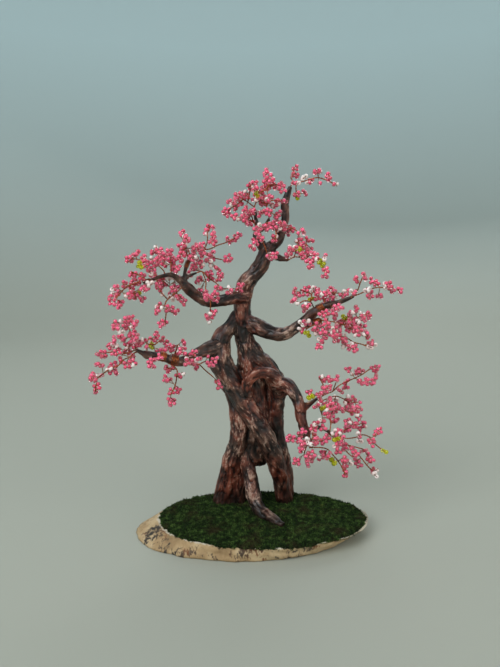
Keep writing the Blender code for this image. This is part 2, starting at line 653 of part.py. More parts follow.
            [(48.5, -3, 133.5), (50, -7, 132.5), (51, -12, 132.5)],
        ],
        "pink": [
            (54, 131), (55.5, 131.5),
        ],
    },
    "right_far": {
        "wires": [
            [
                (62.5, -4, 138.5), (66, -3, 140), (70.5, -2, 142), (76.5, -1, 143), (82, 0, 142),
                (86, 0, 141.5),
            ],
            [(62.5, -4, 138.5), (63.5, -6, 142.5), (64, -7, 145), (65.5, -8, 149.5)],
        ],
        "pink": [
            (63, 149), (63, 147.5), (64, 145.5), (67, 152), (67, 150.5), (67.5, 148), (60, 141.5),
            (62, 139), (64, 140.5), (69, 143.5), (70, 145), (71.5, 146.5), (73.5, 143.5), (73, 139),
            (69.5, 140), (75.5, 146.5), (76, 145), (82, 145.5), (75, 138), (77, 139), (78, 137.5),
            (81.5, 141.5), (83.5, 140), (85.5, 140.5), (86.5, 142.5), (89, 142), (88, 140), (71.5, 140.5),
        ],
        "white": [
            (68.5, 141), (71, 142), (79.5, 145), (80, 142.5),
        ],
    },
    "right_low_mid": {
        "wires": [
            [(46.5, -5, 130.5), (47, -8, 127.5), (46.5, -9, 123), (47, -9, 118.5), (44.5, -9, 115.5)],
        ],
        "pink": [
            (50.5, 130), (51.5, 127.5), (43.5, 128), (46.5, 123), (46, 119), (49, 121.5), (48, 124),
            (48, 118), (44, 113.5), (46.5, 115), (47.5, 113), (45, 112.5), (46, 117), (49.5, 116.5),
            (41, 119),
        ],
        "white": [
            (45, 126.5), (47, 126.5), (50.5, 120), (50.5, 118), (41.5, 117),
        ],
    },
    "right_low_far": {
        "wires": [
            [
                (42.5, -9, 125), (47.5, -3, 124.5), (52, 0, 123.5), (57, 2, 122), (62, 4, 123),
                (66, 5, 125.5), (69, 6, 127.5),
            ],
            [(57, 2, 122), (60.5, 0, 120), (64, -2, 118.5), (68, -3, 116)],
        ],
        "pink": [
            (53.5, 128), (52.5, 129), (59, 128), (64.5, 127.5), (61.5, 127), (62, 124.5), (67.5, 130),
            (69.5, 128), (67.5, 126), (51, 126), (52, 123.5), (54, 122), (56, 123.5), (58, 121.5),
            (55, 119.5), (61.5, 122.5), (63.5, 121.5), (66.5, 122), (69, 121.5), (59, 118.5),
            (60.5, 117.5), (62.5, 119.5), (64.5, 118.5), (63.5, 114.5), (66.5, 116.5), (70.5, 114.5),
            (57.5, 124), (54, 124.5), (60, 121.5), (64.5, 124.5), (63, 123),
        ],
        "white": [
            (62, 129), (66.5, 128.5), (65.5, 123.5), (68.5, 116.5),
        ],
        "green": [
            (56, 127.5), (56, 126), (59.5, 126), (60, 124),
        ],
    },
    "right_low_drop": {
        "wires": [
            [
                (43, -8, 124), (47.5, -5, 117.5), (53.5, -4, 116.5), (58.5, -3, 115), (62.5, -2, 112.5),
                (66.5, -2, 111.5), (69.5, -2, 110.5),
            ],
            [(62.5, -2, 112.5), (63.5, -2, 110)],
        ],
        "pink": [
            (59, 114.5), (57, 111.5), (62.5, 110), (64, 110), (65, 108), (63, 107), (71.5, 111),
            (55, 118.5),
        ],
        "white": [
            (57.5, 115.5), (57, 114.5), (57, 109.5), (70, 110), (71.5, 109), (73.5, 109),
        ],
    },
    "low_right_top": {
        "wires": [
            [
                (45, 7, 79), (49.5, 8, 80.5), (53, 8, 82), (56.5, 9, 85), (61.5, 11, 87), (66.5, 12, 89),
                (71, 13, 91), (75, 14, 93.5), (78.5, 14, 94.5),
            ],
            [(66.5, 12, 89), (71, 10, 86.5), (73, 9, 86)],
            [(53, 8, 82), (54, 4, 88)],
        ],
        "pink": [
            (77.5, 98.5), (67, 98.5), (64.5, 95.5), (67, 95.5), (62, 91.5), (59.5, 90.5), (64, 92.5),
            (70.5, 91), (71.5, 93), (74.5, 91), (70.5, 89), (74, 87.5), (71, 86), (54.5, 93.5),
            (52.5, 91), (54.5, 89.5), (57, 86), (58.5, 87.5), (61, 86.5), (58, 89),
        ],
        "white": [
            (75.5, 97.5), (62.5, 94),
        ],
    },
    "low_right_upper_left": {
        "wires": [
            [(43.5, 6, 77.5), (46, 1, 81), (47.5, -2, 85), (45.5, -3, 89), (43.5, -4, 93)],
        ],
        "pink": [
            (42.5, 94.5), (44, 91), (47, 90), (45.5, 87.5), (49, 88), (46.5, 85.5), (47.5, 84),
            (50, 85.5), (50.5, 87), (48.5, 86.5), (49, 83),
        ],
        "white": [
            (45.5, 92.5),
        ],
        "green": [
            (37, 80), (39.5, 81), (40.5, 82), (40, 79.5),
        ],
    },
    "low_right_side": {
        "wires": [
            [(45, 8, 75.5), (50, 13, 76), (56, 16, 77), (61, 17, 75), (65.5, 18, 72)],
        ],
        "pink": [
            (62.5, 82), (60.5, 79.5), (64.5, 79), (65, 76.5), (67.5, 77.5), (50, 80.5), (50.5, 77.5),
            (63.5, 80),
        ],
        "white": [
            (53, 81), (51.5, 80), (54.5, 79), (60.5, 81), (59, 77),
        ],
    },
    "low_right_heart": {
        "wires": [
            [(51.5, 2, 60), (51.5, 3, 64), (51, 4, 67.5), (53.5, 6, 72), (55, 8, 75)],
            [(53.5, 6, 72), (59, 8, 70.5), (65, 10, 68.5)],
            [(51, 4, 67.5), (46.5, 1, 68)],
        ],
        "pink": [
            (44, 77.5), (47, 79), (42.5, 75.5), (50, 76), (48.5, 72), (51.5, 74), (54.5, 73.5),
            (56.5, 75.5), (57.5, 72.5), (60, 74), (58.5, 70.5), (62, 73.5), (63.5, 72), (63.5, 69),
            (66.5, 72), (46, 70.5), (44, 67.5), (47.5, 67), (46.5, 65.5), (51.5, 68.5), (55, 67.5),
            (53, 66), (54, 72), (49.5, 70), (55, 76), (51.5, 77),
        ],
        "white": [
            (44.5, 76), (66, 70),
        ],
        "green": [
            (46, 74), (48, 75),
        ],
    },
    "low_right_far": {
        "wires": [
            [
                (53, 3, 58), (57, 4, 55.5), (62, 5, 54.5), (67.5, 6, 55), (71.5, 7, 56), (76, 7, 54),
                (77.5, 6, 51.5), (81, 5, 48.5), (83.5, 4, 47),
            ],
            [(57, 4, 55.5), (60.5, 8, 58.5), (65.5, 10, 60), (70.5, 11, 61.5)],
        ],
        "pink": [
            (57.5, 64.5), (60.5, 66.5), (60, 62.5), (63, 63), (61.5, 60.5), (64, 60), (66, 62.5),
            (66, 66.5), (69, 66.5), (69, 63.5), (71, 65.5), (71.5, 62.5), (77, 60.5), (79, 59.5),
            (75.5, 57.5), (68, 57), (75.5, 51.5), (65, 64.5), (66.5, 60),
        ],
        "white": [
            (68.5, 54.5), (67, 54.5),
        ],
        "green": [
            (81, 49), (83, 48.5), (84, 47.5),
        ],
    },
    "low_right_near": {
        "wires": [
            [(52, 0, 58), (52.5, -3, 57.5), (53.5, -4, 56), (53.5, -5, 53.5)],
        ],
        "pink": [
            (54, 57.5), (54.5, 53), (53, 51.5), (55.5, 50.5), (56.5, 53),
        ],
        "white": [
            (52, 59),
        ],
        "green": [
            (53, 56), (52.5, 54.5), (55.5, 56.5), (56.5, 56),
        ],
    },
    "low_right_drop": {
        "wires": [
            [
                (39.5, -9, 54), (43.5, -9, 54), (48, -9, 53), (51, -10, 50), (54, -10, 46.5),
                (56.5, -10, 42.5), (58, -11, 39),
            ],
            [(54, -10, 46.5), (56, -11, 48), (59, -11, 48)],
        ],
        "pink": [
            (45.5, 48), (47.5, 49), (46.5, 45), (48.5, 45.5), (60, 45), (58.5, 42), (61, 36.5),
            (58.5, 34), (61, 32.5),
        ],
        "white": [
            (62, 42), (63, 41.5),
        ],
        "green": [
            (52, 44.5), (51.5, 43), (54, 42), (53.5, 40),
        ],
    },
    "low_right_low": {
        "wires": [
            [
                (52.5, 3, 56), (57, 2, 53.5), (61.5, 2, 51.5), (65.5, 1, 48.5), (69, 0, 44.5),
                (72.5, 0, 40), (75.5, 0, 37),
            ],
            [(61.5, 2, 51.5), (66.5, 4, 49.5), (71, 5, 48)],
            [(57, 2, 53.5), (60, -1, 49), (63.5, -3, 46)],
        ],
        "pink": [
            (78.5, 37), (72.5, 44), (74.5, 42.5), (69.5, 50), (71.5, 49), (73.5, 49), (67.5, 47),
            (64.5, 44.5), (65.5, 43), (68.5, 42.5), (58, 48.5), (60.5, 53.5), (60, 51.5), (62, 50),
            (63.5, 50.5), (58.5, 51),
        ],
        "white": [
            (76.5, 35.5), (78.5, 33.5), (64.5, 48.5),
        ],
    },
    "low_right_tip": {
        "wires": [
            [(37.5, -9, 57), (39, -13, 60.5), (42, -14, 59.5)],
            [(37.5, -9, 57), (35.5, -14, 55.5), (34.5, -15, 52), (36.5, -15, 49.5)],
        ],
        "pink": [
            (40.5, 64), (42.5, 62.5), (38.5, 62), (43, 60.5), (41.5, 56.5), (44, 57), (42, 54),
            (45.5, 54.5), (43.5, 52), (48, 57), (49, 54.5), (46, 53), (34, 53), (33.5, 50), (36, 51.5),
            (33, 46), (30, 44.5), (30, 41.5), (33.5, 42), (32, 40), (38, 47.5), (36.5, 46), (41, 45.5),
            (40.5, 42.5), (37, 43), (39.5, 41),
        ],
        "white": [
            (40.5, 60), (37.5, 56), (38, 54),
        ],
    },
    "low_right_tip_left": {
        "wires": [
            [(34.5, -7, 61), (32.5, -10, 60.5), (30, -11, 59.5), (27.5, -11, 59)],
        ],
        "pink": [
            (26, 55), (27, 57), (29.5, 54.5), (31.5, 57.5), (32.5, 59.5), (34, 57), (34.5, 59),
        ],
        "green": [
            (33.5, 54.5),
        ],
    },
}


# numbers along a line

def smooth_path(points, step):
    """A Catmull-Rom curve through the points, read about every step."""
    points = [np.array(p, float) for p in points]
    ends = [2 * points[0] - points[1]] + points + [2 * points[-1] - points[-2]]
    path = [points[0]]
    for a, b, c, d in zip(ends, ends[1:], ends[2:], ends[3:]):
        count = max(1, round(float(np.linalg.norm(c[:3] - b[:3])) / step))
        for i in range(1, count + 1):
            t = i / count
            path.append(0.5 * (2 * b + (c - a) * t + (2 * a - 5 * b + 4 * c - d) * t**2
                               + (3 * b - a - 3 * c + d) * t**3))
    return np.array(path)


def segment_gap(point, starts, ends):
    """Distance from a point to each segment, and how far along each the nearest place is."""
    along = ends - starts
    length = np.maximum((along**2).sum(1), 1e-9)
    t = np.clip(((point - starts) * along).sum(1) / length, 0.0, 1.0)
    return np.linalg.norm(starts + along * t[:, None] - point, axis=1), t


def on_sight_line(x, z, y):
    """The place at depth y that the front view shows at (x, z)."""
    eye = np.array(EYE)
    return eye + (np.array((x, 0.0, z)) - eye) * (y - eye[1]) / -eye[1]


def seen_at(point):
    """Where the front view shows a place: (x, z) on the plane y = 0."""
    eye = np.array(EYE)
    shown = eye + (point - eye) * -eye[1] / (point[1] - eye[1])
    return shown[[0, 2]]


# where the beads go

class Room:
    """What is already placed: trunk, wires and beads, each a rod with a radius and an owner."""

    def __init__(self):
        self.rods = []
        self.table = None

    def add(self, owner, start, end, start_radius, end_radius):
        self.rods.append((owner, start, end, start_radius, end_radius))
        self.table = None

    def gap(self, owner, points, radius):
        """The least gap from balls at the points to anything of another owner."""
        if self.table is None:
            starts = np.array([rod[1] for rod in self.rods])
            ends = np.array([rod[2] for rod in self.rods])
            radii = np.array([rod[3:] for rod in self.rods])
            self.table = np.array([rod[0] for rod in self.rods]), starts, ends, radii
        owners, starts, ends, radii = self.table
        others = owners != owner
        least = FAR
        if not others.any():
            return least
        for point in points:
            away, t = segment_gap(point, starts[others], ends[others])
            rod_radius = radii[others, 0] * (1 - t) + radii[others, 1] * t
            least = min(least, float((away - rod_radius).min()) - radius)
        return least


def loops_of(beads):
    """Sets of neighbouring beads, each threaded by one loop of wire and drawn together by it."""
    left = list(beads)
    loops = []
    while left:
        loop = [left.pop(0)]
        while len(loop) < BEADS_PER_LOOP and left:
            reach = [min(math.dist(bead, other) for other in loop) for bead in left]
            if min(reach) > LOOP_REACH:
                break
            loop.append(left.pop(reach.index(min(reach))))
        loops.append(loop)
    return loops


def ring_of_beads(loop, depth, lean):
    """Bead centres and normal of the regular ring, tilted in depth, that shows as the beads were read."""
    loop = np.array(loop)
    heart = on_sight_line(*loop.mean(axis=0), depth)
    if len(loop) == 1:
        return [heart], np.array((0.0, 1.0, 0.0))
    offsets = loop - loop.mean(axis=0)
    spread, axes = np.linalg.eigh(offsets.T @ offsets)
    long_way = np.array((axes[0, 1], 0.0, axes[1, 1]))
    short_way = np.array((axes[0, 0], 0.0, axes[1, 0]))
    foreshortening = min(max(math.sqrt(max(spread[0], 0.0) / spread[1]), FLATTEST_RING), ROUNDEST_RING)
    into = np.array((0.0, lean, 0.0))
    second = short_way * foreshortening + into * math.sqrt(1.0 - foreshortening**2)
    count = max(len(loop), 3)
    radius = LOOP_PITCH / (2 * math.sin(math.pi / count))
    bearings = np.arctan2(offsets @ axes[:, 0] / foreshortening, offsets @ axes[:, 1])
    turn = 2 * math.pi / count
    phase = np.angle(np.exp(1j * bearings * count).sum()) / count
    angles = [phase + turn * k for k in range(count)]
    beads = [heart + radius * (long_way * math.cos(a) + second * math.sin(a)) for a in angles]
    normal = np.cross(long_way, second)
    return beads, normal / np.linalg.norm(normal)


def wound_round(strand, start, stop, toward):
    """A helix round a stretch of a branch, just clear of it, that ends on the side facing a point."""
    path = smooth_path(STRANDS[strand], CORE_STEP)
    steps = COIL_TURNS * COIL_STEPS
    helix = []
    across = None
    for i in range(steps + 1):
        place = (start + (stop - start) * i / steps) * (len(path) - 1)
        low = min(int(place), len(path) - 2)
        here = path[low] + (path[low + 1] - path[low]) * (place - low)
        way = path[low + 1][:3] - path[low][:3]
        way = way / np.linalg.norm(way)
        if across is None:
            across = np.array(toward) - path[round(stop * (len(path) - 1))][:3]
        across = across - way * np.dot(across, way)
        across = across / np.linalg.norm(across)
        angle = 2 * math.pi * (i - steps) / COIL_STEPS
        radius = (here[3] + COIL_CLEARANCE + WIRE_RADIUS) / math.cos(math.pi / COIL_STEPS)
        helix.append(here[:3] + radius * (across * math.cos(angle) + np.cross(way, across) * math.sin(angle)))
    return helix


def seated(wire):
    """A wire that starts on the middle line of the branch nearest to its first point."""
    first = np.array(wire[0], float)
    cores = np.concatenate([smooth_path(points, CORE_STEP) for points in STRANDS.values()])
    away = np.linalg.norm(cores[:, :3] - first, axis=1)
    core = tuple(cores[away.argmin(), :3])
    return [core] + list(wire[1:] if away.min() < SEAT_REACH else wire)


def spray_wires(name, laid_wires, trunk_tree):
    """The wires of a spray; where it has a coil, the first wire starts wound round its branch."""
    first, *others = SPRAYS[name]["wires"]
    if name in COILS:
        first = smooth_path(first, WIRE_STEP)
        first = np.array(wound_round(*COILS[name], first[1]) + list(first[1:]))
    else:
        first = clear_start(name, smooth_path(seated(first), WIRE_STEP), laid_wires, trunk_tree)
    wires = [first]
    for wire in others:
        laid = np.concatenate([smooth_path(path, JOINT_STEP) for path in wires])
        joint = laid[np.linalg.norm(laid - np.array(wire[0], float), axis=1).argmin()]
        wires.append(smooth_path([joint] + list(wire[1:]), WIRE_STEP))
    return wires


def clear_start(name, path, laid_wires, trunk_tree):
    """The part of a wire outside the trunk, its start just clear of it and of the other wires."""
    steps = np.linalg.norm(np.diff(path, axis=0), axis=1)
    lengths = np.concatenate(([0.0], np.cumsum(steps)))
    start = 0.0
    while start < lengths[-1]:
        after = np.searchsorted(lengths, start, side="right")
        way = (path[after] - path[after - 1]) / steps[after - 1]
        here = path[after - 1] + way * (start - lengths[after - 1])
        across = Vector(way).orthogonal().normalized()
        around = Vector(way).cross(across)
        rim = [Vector(here) + (across * math.cos(a) + around * math.sin(a)) * WIRE_RADIUS for a in RIM_ANGLES]
        free = laid_wires.gap(name, [here], WIRE_RADIUS) > WIRE_GAP
        if free and all(outside(point, trunk_tree) for point in rim):
            break
        start += START_STEP
    return np.array([here] + [p for p, length in zip(path, lengths) if length > start + SHORTEST_STEP])


def outside(point, trunk_tree):
    """Whether a point lies outside the trunk and at least one clearance away."""
    point = point * MM
    if trunk_tree.find_nearest(point)[3] < CLEARANCE * MM:
        return False
    crossings = 0
    hit = trunk_tree.ray_cast(point, PROBE)[0]
    while hit is not None:
        crossings += 1
        hit = trunk_tree.ray_cast(hit + PROBE * PROBE_STEP, PROBE)[0]
    return crossings % 2 == 0


def lay_out_sprays(trunk_tree):
    """Every spray's wires, stems and loops, each loop pushed along its line of sight until it is clear."""
    chance = random.Random(SPRAY_SEED)
    room = Room()
    for points in STRANDS.values():
        path = smooth_path(points, ROOM_STEP)
        for a, b in zip(path, path[1:]):
            room.add("trunk", a[:3], b[:3], a[3], b[3])
    wires = {}
    laid_wires = Room()
    for name in sorted(SPRAYS, key=lambda name: name not in COILS):
        wires[name] = spray_wires(name, laid_wires, trunk_tree)
        for path in wires[name]:
            for a, b in zip(path, path[1:]):
                room.add(name, a, b, WIRE_RADIUS, WIRE_RADIUS)
                laid_wires.add(name, a, b, WIRE_RADIUS, WIRE_RADIUS)
    layout = {}
    for name, spray in SPRAYS.items():
        knots = [knot for path in wires[name] for knot in path
                 if room.gap(name, [knot], WIRE_RADIUS) > KNOT_CLEARANCE]
        stems = []
        loops = []
        beads_so_far = []
        for colour in ("pink", "white", "green"):
            for loop in loops_of(spray.get(colour, [])):
                stem, beads, normal = place_loop(name, loop, knots, beads_so_far, room, chance)
                stems.append(stem)
                loops.append((colour, beads, normal))
                beads_so_far.extend(beads)
                room.add(name, stem[0], stem[1], WIRE_RADIUS, WIRE_RADIUS)
                for bead in beads:
                    room.add(name, bead, bead, BEAD_DIAMETER / 2, BEAD_DIAMETER / 2)
                if np.linalg.norm(stem[1] - stem[0]) > LONG_STEM:
                    knots.append(stem[0] + (stem[1] - stem[0]) * STEM_KNOT_SHARE)
        layout[name] = {"wires": wires[name], "stems": stems, "loops": loops}
    return layout


def place_loop(name, loop, knots, placed_beads, room, chance):
    """The stem, the bead centres and the normal of one loop, at the best depth clear of other sprays."""
    middle = np.mean(loop, axis=0)
    shown = np.array([seen_at(knot) for knot in knots])
    nearest = np.argsort(np.linalg.norm(shown - middle, axis=1))[:KNOTS_TRIED]
    side = chance.choice((-1, 1))
    reach = chance.uniform(*STEM_LENGTHS)
    lean = chance.choice((-1, 1))
    best = None
    for rank, index in enumerate(nearest):
        knot = knots[index]
        aside = np.linalg.norm(shown[index] - middle)
        most = max(math.sqrt(max(0.0, reach**2 - aside**2)), LEAST_DEPTH)
        for step, share in enumerate(DEPTH_SHARES):
            beads, normal = ring_of_beads(loop, knot[1] + side * share * most, lean)
            heart = np.mean(beads, axis=0)
            stem_way = heart - knot
            length = np.linalg.norm(stem_way)
            if length < SHORTEST_STEM:
                continue
            along = [knot + stem_way * t for t in STEM_PROBES]
            gap = min(room.gap(name, beads, BEAD_DIAMETER / 2), room.gap(name, along, WIRE_RADIUS))
            if gap < LOOP_CLEARANCE:
                continue
            crowding = sum(max(0.0, BEAD_DIAMETER - np.linalg.norm(bead - other))
                           for bead in beads for other in placed_beads)
            cost = step * DEPTH_COST + rank * KNOT_COST + crowding * CROWDING_COST
            cost += abs(length - reach) * LENGTH_COST + max(0.0, length - LONGEST_STEM)
            if best is None or cost < best[0]:
                best = (cost, (knot, heart), beads, normal)
    return best and best[1:]


# solids

def material(name, colour, roughness, metallic=0.0):
    """A plain finish; the colour is sRGB."""
    finish = bpy.data.materials.new(name)
    finish.use_nodes = True
    shader = finish.node_tree.nodes["Principled BSDF"]
    linear = [((c + 0.055) / 1.055) ** 2.4 if c > 0.04 else c / 12.92 for c in colour]
    shader.inputs["Base Color"].default_value = (*linear, 1.0)
    shader.inputs["Roughness"].default_value = roughness
    shader.inputs["Metallic"].default_value = metallic
    finish.diffuse_color = (*linear, 1.0)
    return finish


def add_object(name, bm, finish=None, collection=None):
    """An object from a mesh drawn in millimetres."""
    bmesh.ops.scale(bm, vec=(MM, MM, MM), verts=bm.verts)
    bmesh.ops.triangulate(bm, faces=bm.faces)
    bmesh.ops.recalc_face_normals(bm, faces=bm.faces)
    mesh = bpy.data.meshes.new(name)
    bm.to_mesh(mesh)
    bm.free()
    if finish:
        mesh.materials.append(finish)
    thing = bpy.data.objects.new(name, mesh)
    (collection or bpy.context.scene.collection).objects.link(thing)
    return thing


def add_tube(bm, path, radii, sides, turn=0.0):
    """A closed tube with flat ends along a path, its rings kept from twisting."""
    path = [Vector(p[:3]) for p in path]
    rings = []
    across = None
    for i, here in enumerate(path):
        way = (path[min(i + 1, len(path) - 1)] - path[max(i - 1, 0)]).normalized()
        if across is None:
            across = way.orthogonal().normalized()
        across = (across - way * across.dot(way)).normalized()
        up = way.cross(across)
        ring = []
        for k in range(sides):
            angle = turn + 2 * math.pi * k / sides
            ring.append(bm.verts.new(here + (across * math.cos(angle) + up * math.sin(angle)) * radii[i]))
        rings.append(ring)
    for ring, after in zip(rings, rings[1:]):
        for k in range(sides):
            bm.faces.new((ring[k], ring[(k + 1) % sides], after[(k + 1) % sides], after[k]))
    bm.faces.new(rings[0][::-1])
    bm.faces.new(rings[-1])


def add_loop(bm, beads, normal, foot):
    """A loop of beads and its stem as one solid: a lobe for each bead, and one face drawn out to the foot."""
    radius = BEAD_DIAMETER / 2
    beads = [Vector(bead) for bead in beads]
    foot = Vector(foot)
    normal = Vector(normal)
    heart = sum(beads, Vector()) / len(beads)
    toward = (foot - heart).normalized()
    if len(beads) == 1:
        first = (toward - normal * toward.dot(normal)).normalized()
        second = normal.cross(first)
        angles = [math.pi / 4 + math.pi / 2 * k for k in range(4)]
        rim = [heart + (first * math.cos(a) + second * math.sin(a)) * radius for a in angles]
    else:
        rim = []
        for bead, after in zip(beads, beads[1:] + beads[:1]):
            rim.append(bead + (bead - heart).normalized() * radius)
            rim.append((bead + after) / 2)
    verts = [bm.verts.new(place) for place in rim]
    top = bm.verts.new(heart + normal * radius)
    bottom = bm.verts.new(heart - normal * radius)
    faces = []
    for a, b in zip(verts, verts[1:] + verts[:1]):
        faces.append(bm.faces.new((a, b, top)))
        faces.append(bm.faces.new((b, a, bottom)))
    bm.normal_update()
    root = max(faces, key=lambda face: face.normal.dot((foot - face.calc_center_median()).normalized()))
    corners = list(root.verts)
    centre = root.calc_center_median()
    bm.faces.remove(root)
    end = []
    for corner in corners:
        side = corner.co - centre
        side = (side - toward * side.dot(toward)).normalized()
        end.append(bm.verts.new(foot + side * STEM_FOOT_RADIUS))
    for k in range(3):
        bm.faces.new((corners[k], corners[(k + 1) % 3], end[(k + 1) % 3], end[k]))
    bm.faces.new(end)


def evaluated_mesh(thing):
    """The mesh of an object after its modifiers."""
    graph = bpy.context.evaluated_depsgraph_get()
    return bpy.data.meshes.new_from_object(thing.evaluated_get(graph))


def bodies_of(bm):
    """The faces of each separate body, the largest body first."""
    bodies = []
    unseen = set(bm.faces)
    while unseen:
        body = [unseen.pop()]
        for face in body:
            for edge in face.edges:
                for neighbour in edge.link_faces:
                    if neighbour in unseen:
                        unseen.remove(neighbour)
                        body.append(neighbour)
        bodies.append(body)
    return sorted(bodies, key=len, reverse=True)


def one_closed_body(mesh):
    """The main body of a fused mesh with needless edges dissolved, or None where it isn't closed."""
    for flat_angle, weld, cut in DISSOLVE_TRIES:
        bm = bmesh.new()
        bm.from_mesh(mesh)
        if flat_angle:
            bmesh.ops.dissolve_limit(bm, angle_limit=flat_angle, verts=bm.verts, edges=bm.edges)
        bmesh.ops.triangulate(bm, faces=bm.faces, ngon_method=cut)
        if weld:
            bmesh.ops.dissolve_degenerate(bm, edges=bm.edges, dist=weld * MM)
            bmesh.ops.triangulate(bm, faces=bm.faces, ngon_method=cut)
        bodies = bodies_of(bm)
        scraps = [face for body in bodies[1:] for face in body]
        bmesh.ops.delete(bm, geom=scraps, context="FACES")
        closed = all(len(edge.link_faces) == 2 for edge in bm.edges)
        if closed and len(scraps) < MOST_LOST_TRIANGLES:
            bm.to_mesh(mesh)
            bm.free()
            return mesh
        bm.free()
    return None


def make_spray(name, plan, finish):
    """One spray: its wires, stems and bead loops fused into a single body."""
    repeats = bpy.data.collections.new(name + "_pieces")
    bpy.context.scene.collection.children.link(repeats)
    first, *others = plan["wires"]
    bm = bmesh.new()
    add_tube(bm, first, [WIRE_RADIUS] * len(first), WIRE_SIDES)
    thing = add_object("spray_" + name, bm, finish)
    for path in others:
        bm = bmesh.new()
        add_tube(bm, path, [SIDE_WIRE_RADIUS] * len(path), WIRE_SIDES, SIDE_WIRE_TURN)
        add_object(name + "_wire", bm, None, repeats)
    for stem, (colour, beads, normal) in zip(plan["stems"], plan["loops"]):
        bm = bmesh.new()
        add_loop(bm, beads, normal, stem[0])
        add_object(name + "_loop", bm, None, repeats)
    fuse = thing.modifiers.new("fuse", "BOOLEAN")
    fuse.operation = "UNION"
    fuse.operand_type = "COLLECTION"
    fuse.collection = repeats
    fuse.solver = "EXACT"
    fused = one_closed_body(evaluated_mesh(thing))
    if fused is None:
        fuse.solver = "MANIFOLD"
        fused = one_closed_body(evaluated_mesh(thing))
    thing.modifiers.clear()
    thing.data = fused
    if not fused.materials:
        fused.materials.append(finish)
    for piece in list(repeats.objects):
        bpy.data.objects.remove(piece)
    bpy.data.collections.remove(repeats)
    return thing


# the pieces

def lengthened(path, more):
    """A path with both ends drawn out by a length."""
    if more:
        head = path[0] - path[1]
        tail = path[-1] - path[-2]
        path[0, :3] += head[:3] / np.linalg.norm(head[:3]) * more
        path[-1, :3] += tail[:3] / np.linalg.norm(tail[:3]) * more
    return path


def sculpt(name, strands, swell, triangles):
    """The strands grown together into one smooth body, as a mesh."""
    bm = bmesh.new()
    for points in strands:
        path = smooth_path(points, SCULPT_STEP)
        path = lengthened(path, swell)
        add_tube(bm, path, path[:, 3] + swell, SCULPT_SIDES)
    rough = add_object(name + "_rough", bm)
    blend = rough.modifiers.new("blend", "REMESH")
    blend.mode = "VOXEL"
    blend.voxel_size = SCULPT_GRAIN * MM
    soften = rough.modifiers.new("soften", "SMOOTH")
    soften.factor = SOFTENING
    soften.iterations = SOFTENING_PASSES
    full = evaluated_mesh(rough)
    thin = rough.modifiers.new("thin", "DECIMATE")
    thin.ratio = triangles / (2 * len(full.polygons))
    thin.use_collapse_triangulate = True
    bpy.data.meshes.remove(full)
    mesh = evaluated_mesh(rough)
    bpy.data.objects.remove(rough)
    return mesh


def flat_cut(mesh, height):
    """A mesh with everything below a height cut away and the cut closed."""
    bm = bmesh.new()
    bm.from_mesh(mesh)
    geometry = bm.verts[:] + bm.edges[:] + bm.faces[:]
    bmesh.ops.bisect_plane(bm, geom=geometry, plane_co=(0, 0, height * MM), plane_no=(0, 0, 1),
                           clear_inner=True)
    bmesh.ops.holes_fill(bm, edges=[edge for edge in bm.edges if edge.is_boundary])
    bmesh.ops.triangulate(bm, faces=bm.faces)
    bmesh.ops.recalc_face_normals(bm, faces=bm.faces)
    bm.to_mesh(mesh)
    bm.free()
    return mesh


def cut_away(thing, cutter):
    """The first body less the second, applied; the cutter is removed."""
    cut = thing.modifiers.new("cut", "BOOLEAN")
    cut.operation = "DIFFERENCE"
    cut.object = cutter
    cut.solver = "EXACT"
    mesh = one_closed_body(evaluated_mesh(thing))
    thing.modifiers.clear()
    thing.data = mesh
    bpy.data.objects.remove(cutter)


def make_trunk(finish):
    """Trunk, branches and roots as one sculpted body with a flat sole and a bore for the armature."""
    mesh = flat_cut(sculpt("trunk", STRANDS.values(), 0.0, TRUNK_TRIANGLES), SOLE_HEIGHT)
    mesh = one_closed_body(mesh)
    mesh.materials.append(finish)
    trunk = bpy.data.objects.new("trunk", mesh)
    bpy.context.scene.collection.objects.link(trunk)
    path = smooth_path(BUNDLE_PATH, BUNDLE_STEP)
    bm = bmesh.new()
    add_tube(bm, path, [BORE_RADIUS] * len(path), BUNDLE_SIDES)
    cut_away(trunk, add_object("bore", bm))
    return trunk


def make_armature(finish):
    """The bundle of stem wires inside the trunk, which stands on the slab."""
    path = smooth_path(BUNDLE_PATH, BUNDLE_STEP)[:-1]
    bm = bmesh.new()
    add_tube(bm, path, [BUNDLE_RADIUS] * len(path), BUNDLE_SIDES)
    armature = add_object("wire_armature", bm, finish)
    flat_cut(armature.data, SOLE_HEIGHT)
    return armature


def oval(height, slide, length, depth, points):
    """Points round an oval at a height, its outline a little uneven."""
    ring = []
    for k in range(points):
        angle = 2 * math.pi * k / points
        uneven = 1 + sum(share * math.sin(waves * angle + shift) for waves, share, shift in OVAL_WAVES)
        x = slide + length / 2 * uneven * math.cos(angle)
        ring.append((x, depth / 2 * uneven * math.sin(angle), height))
    return ring


def skin_rings(bm, rings):
    """Faces between rings of points, from the lowest ring up, with the lowest one closed."""
    rows = [[bm.verts.new(point) for point in ring] for ring in rings]
    count = len(rows[0])
    for row, after in zip(rows, rows[1:]):
        for k in range(count):
            bm.faces.new((row[k], row[(k + 1) % count], after[(k + 1) % count], after[k]))
    bm.faces.new(rows[0][::-1])
    return rows


def make_slab(finish):
    """A slanting slice of birch with flat faces and a slightly rounded bark side."""
    bm = bmesh.new()
    rings = []
    for share, inset in SLAB_RINGS:
        rings.append(oval(SLAB_THICKNESS * share, SLAB_SKEW * share, SLAB_LENGTH - 2 * inset,
                          SLAB_DEPTH - 2 * inset, SLAB_POINTS))
    rows = skin_rings(bm, rings)
    bm.faces.new(rows[-1])
    return add_object("birch_slab", bm, finish)


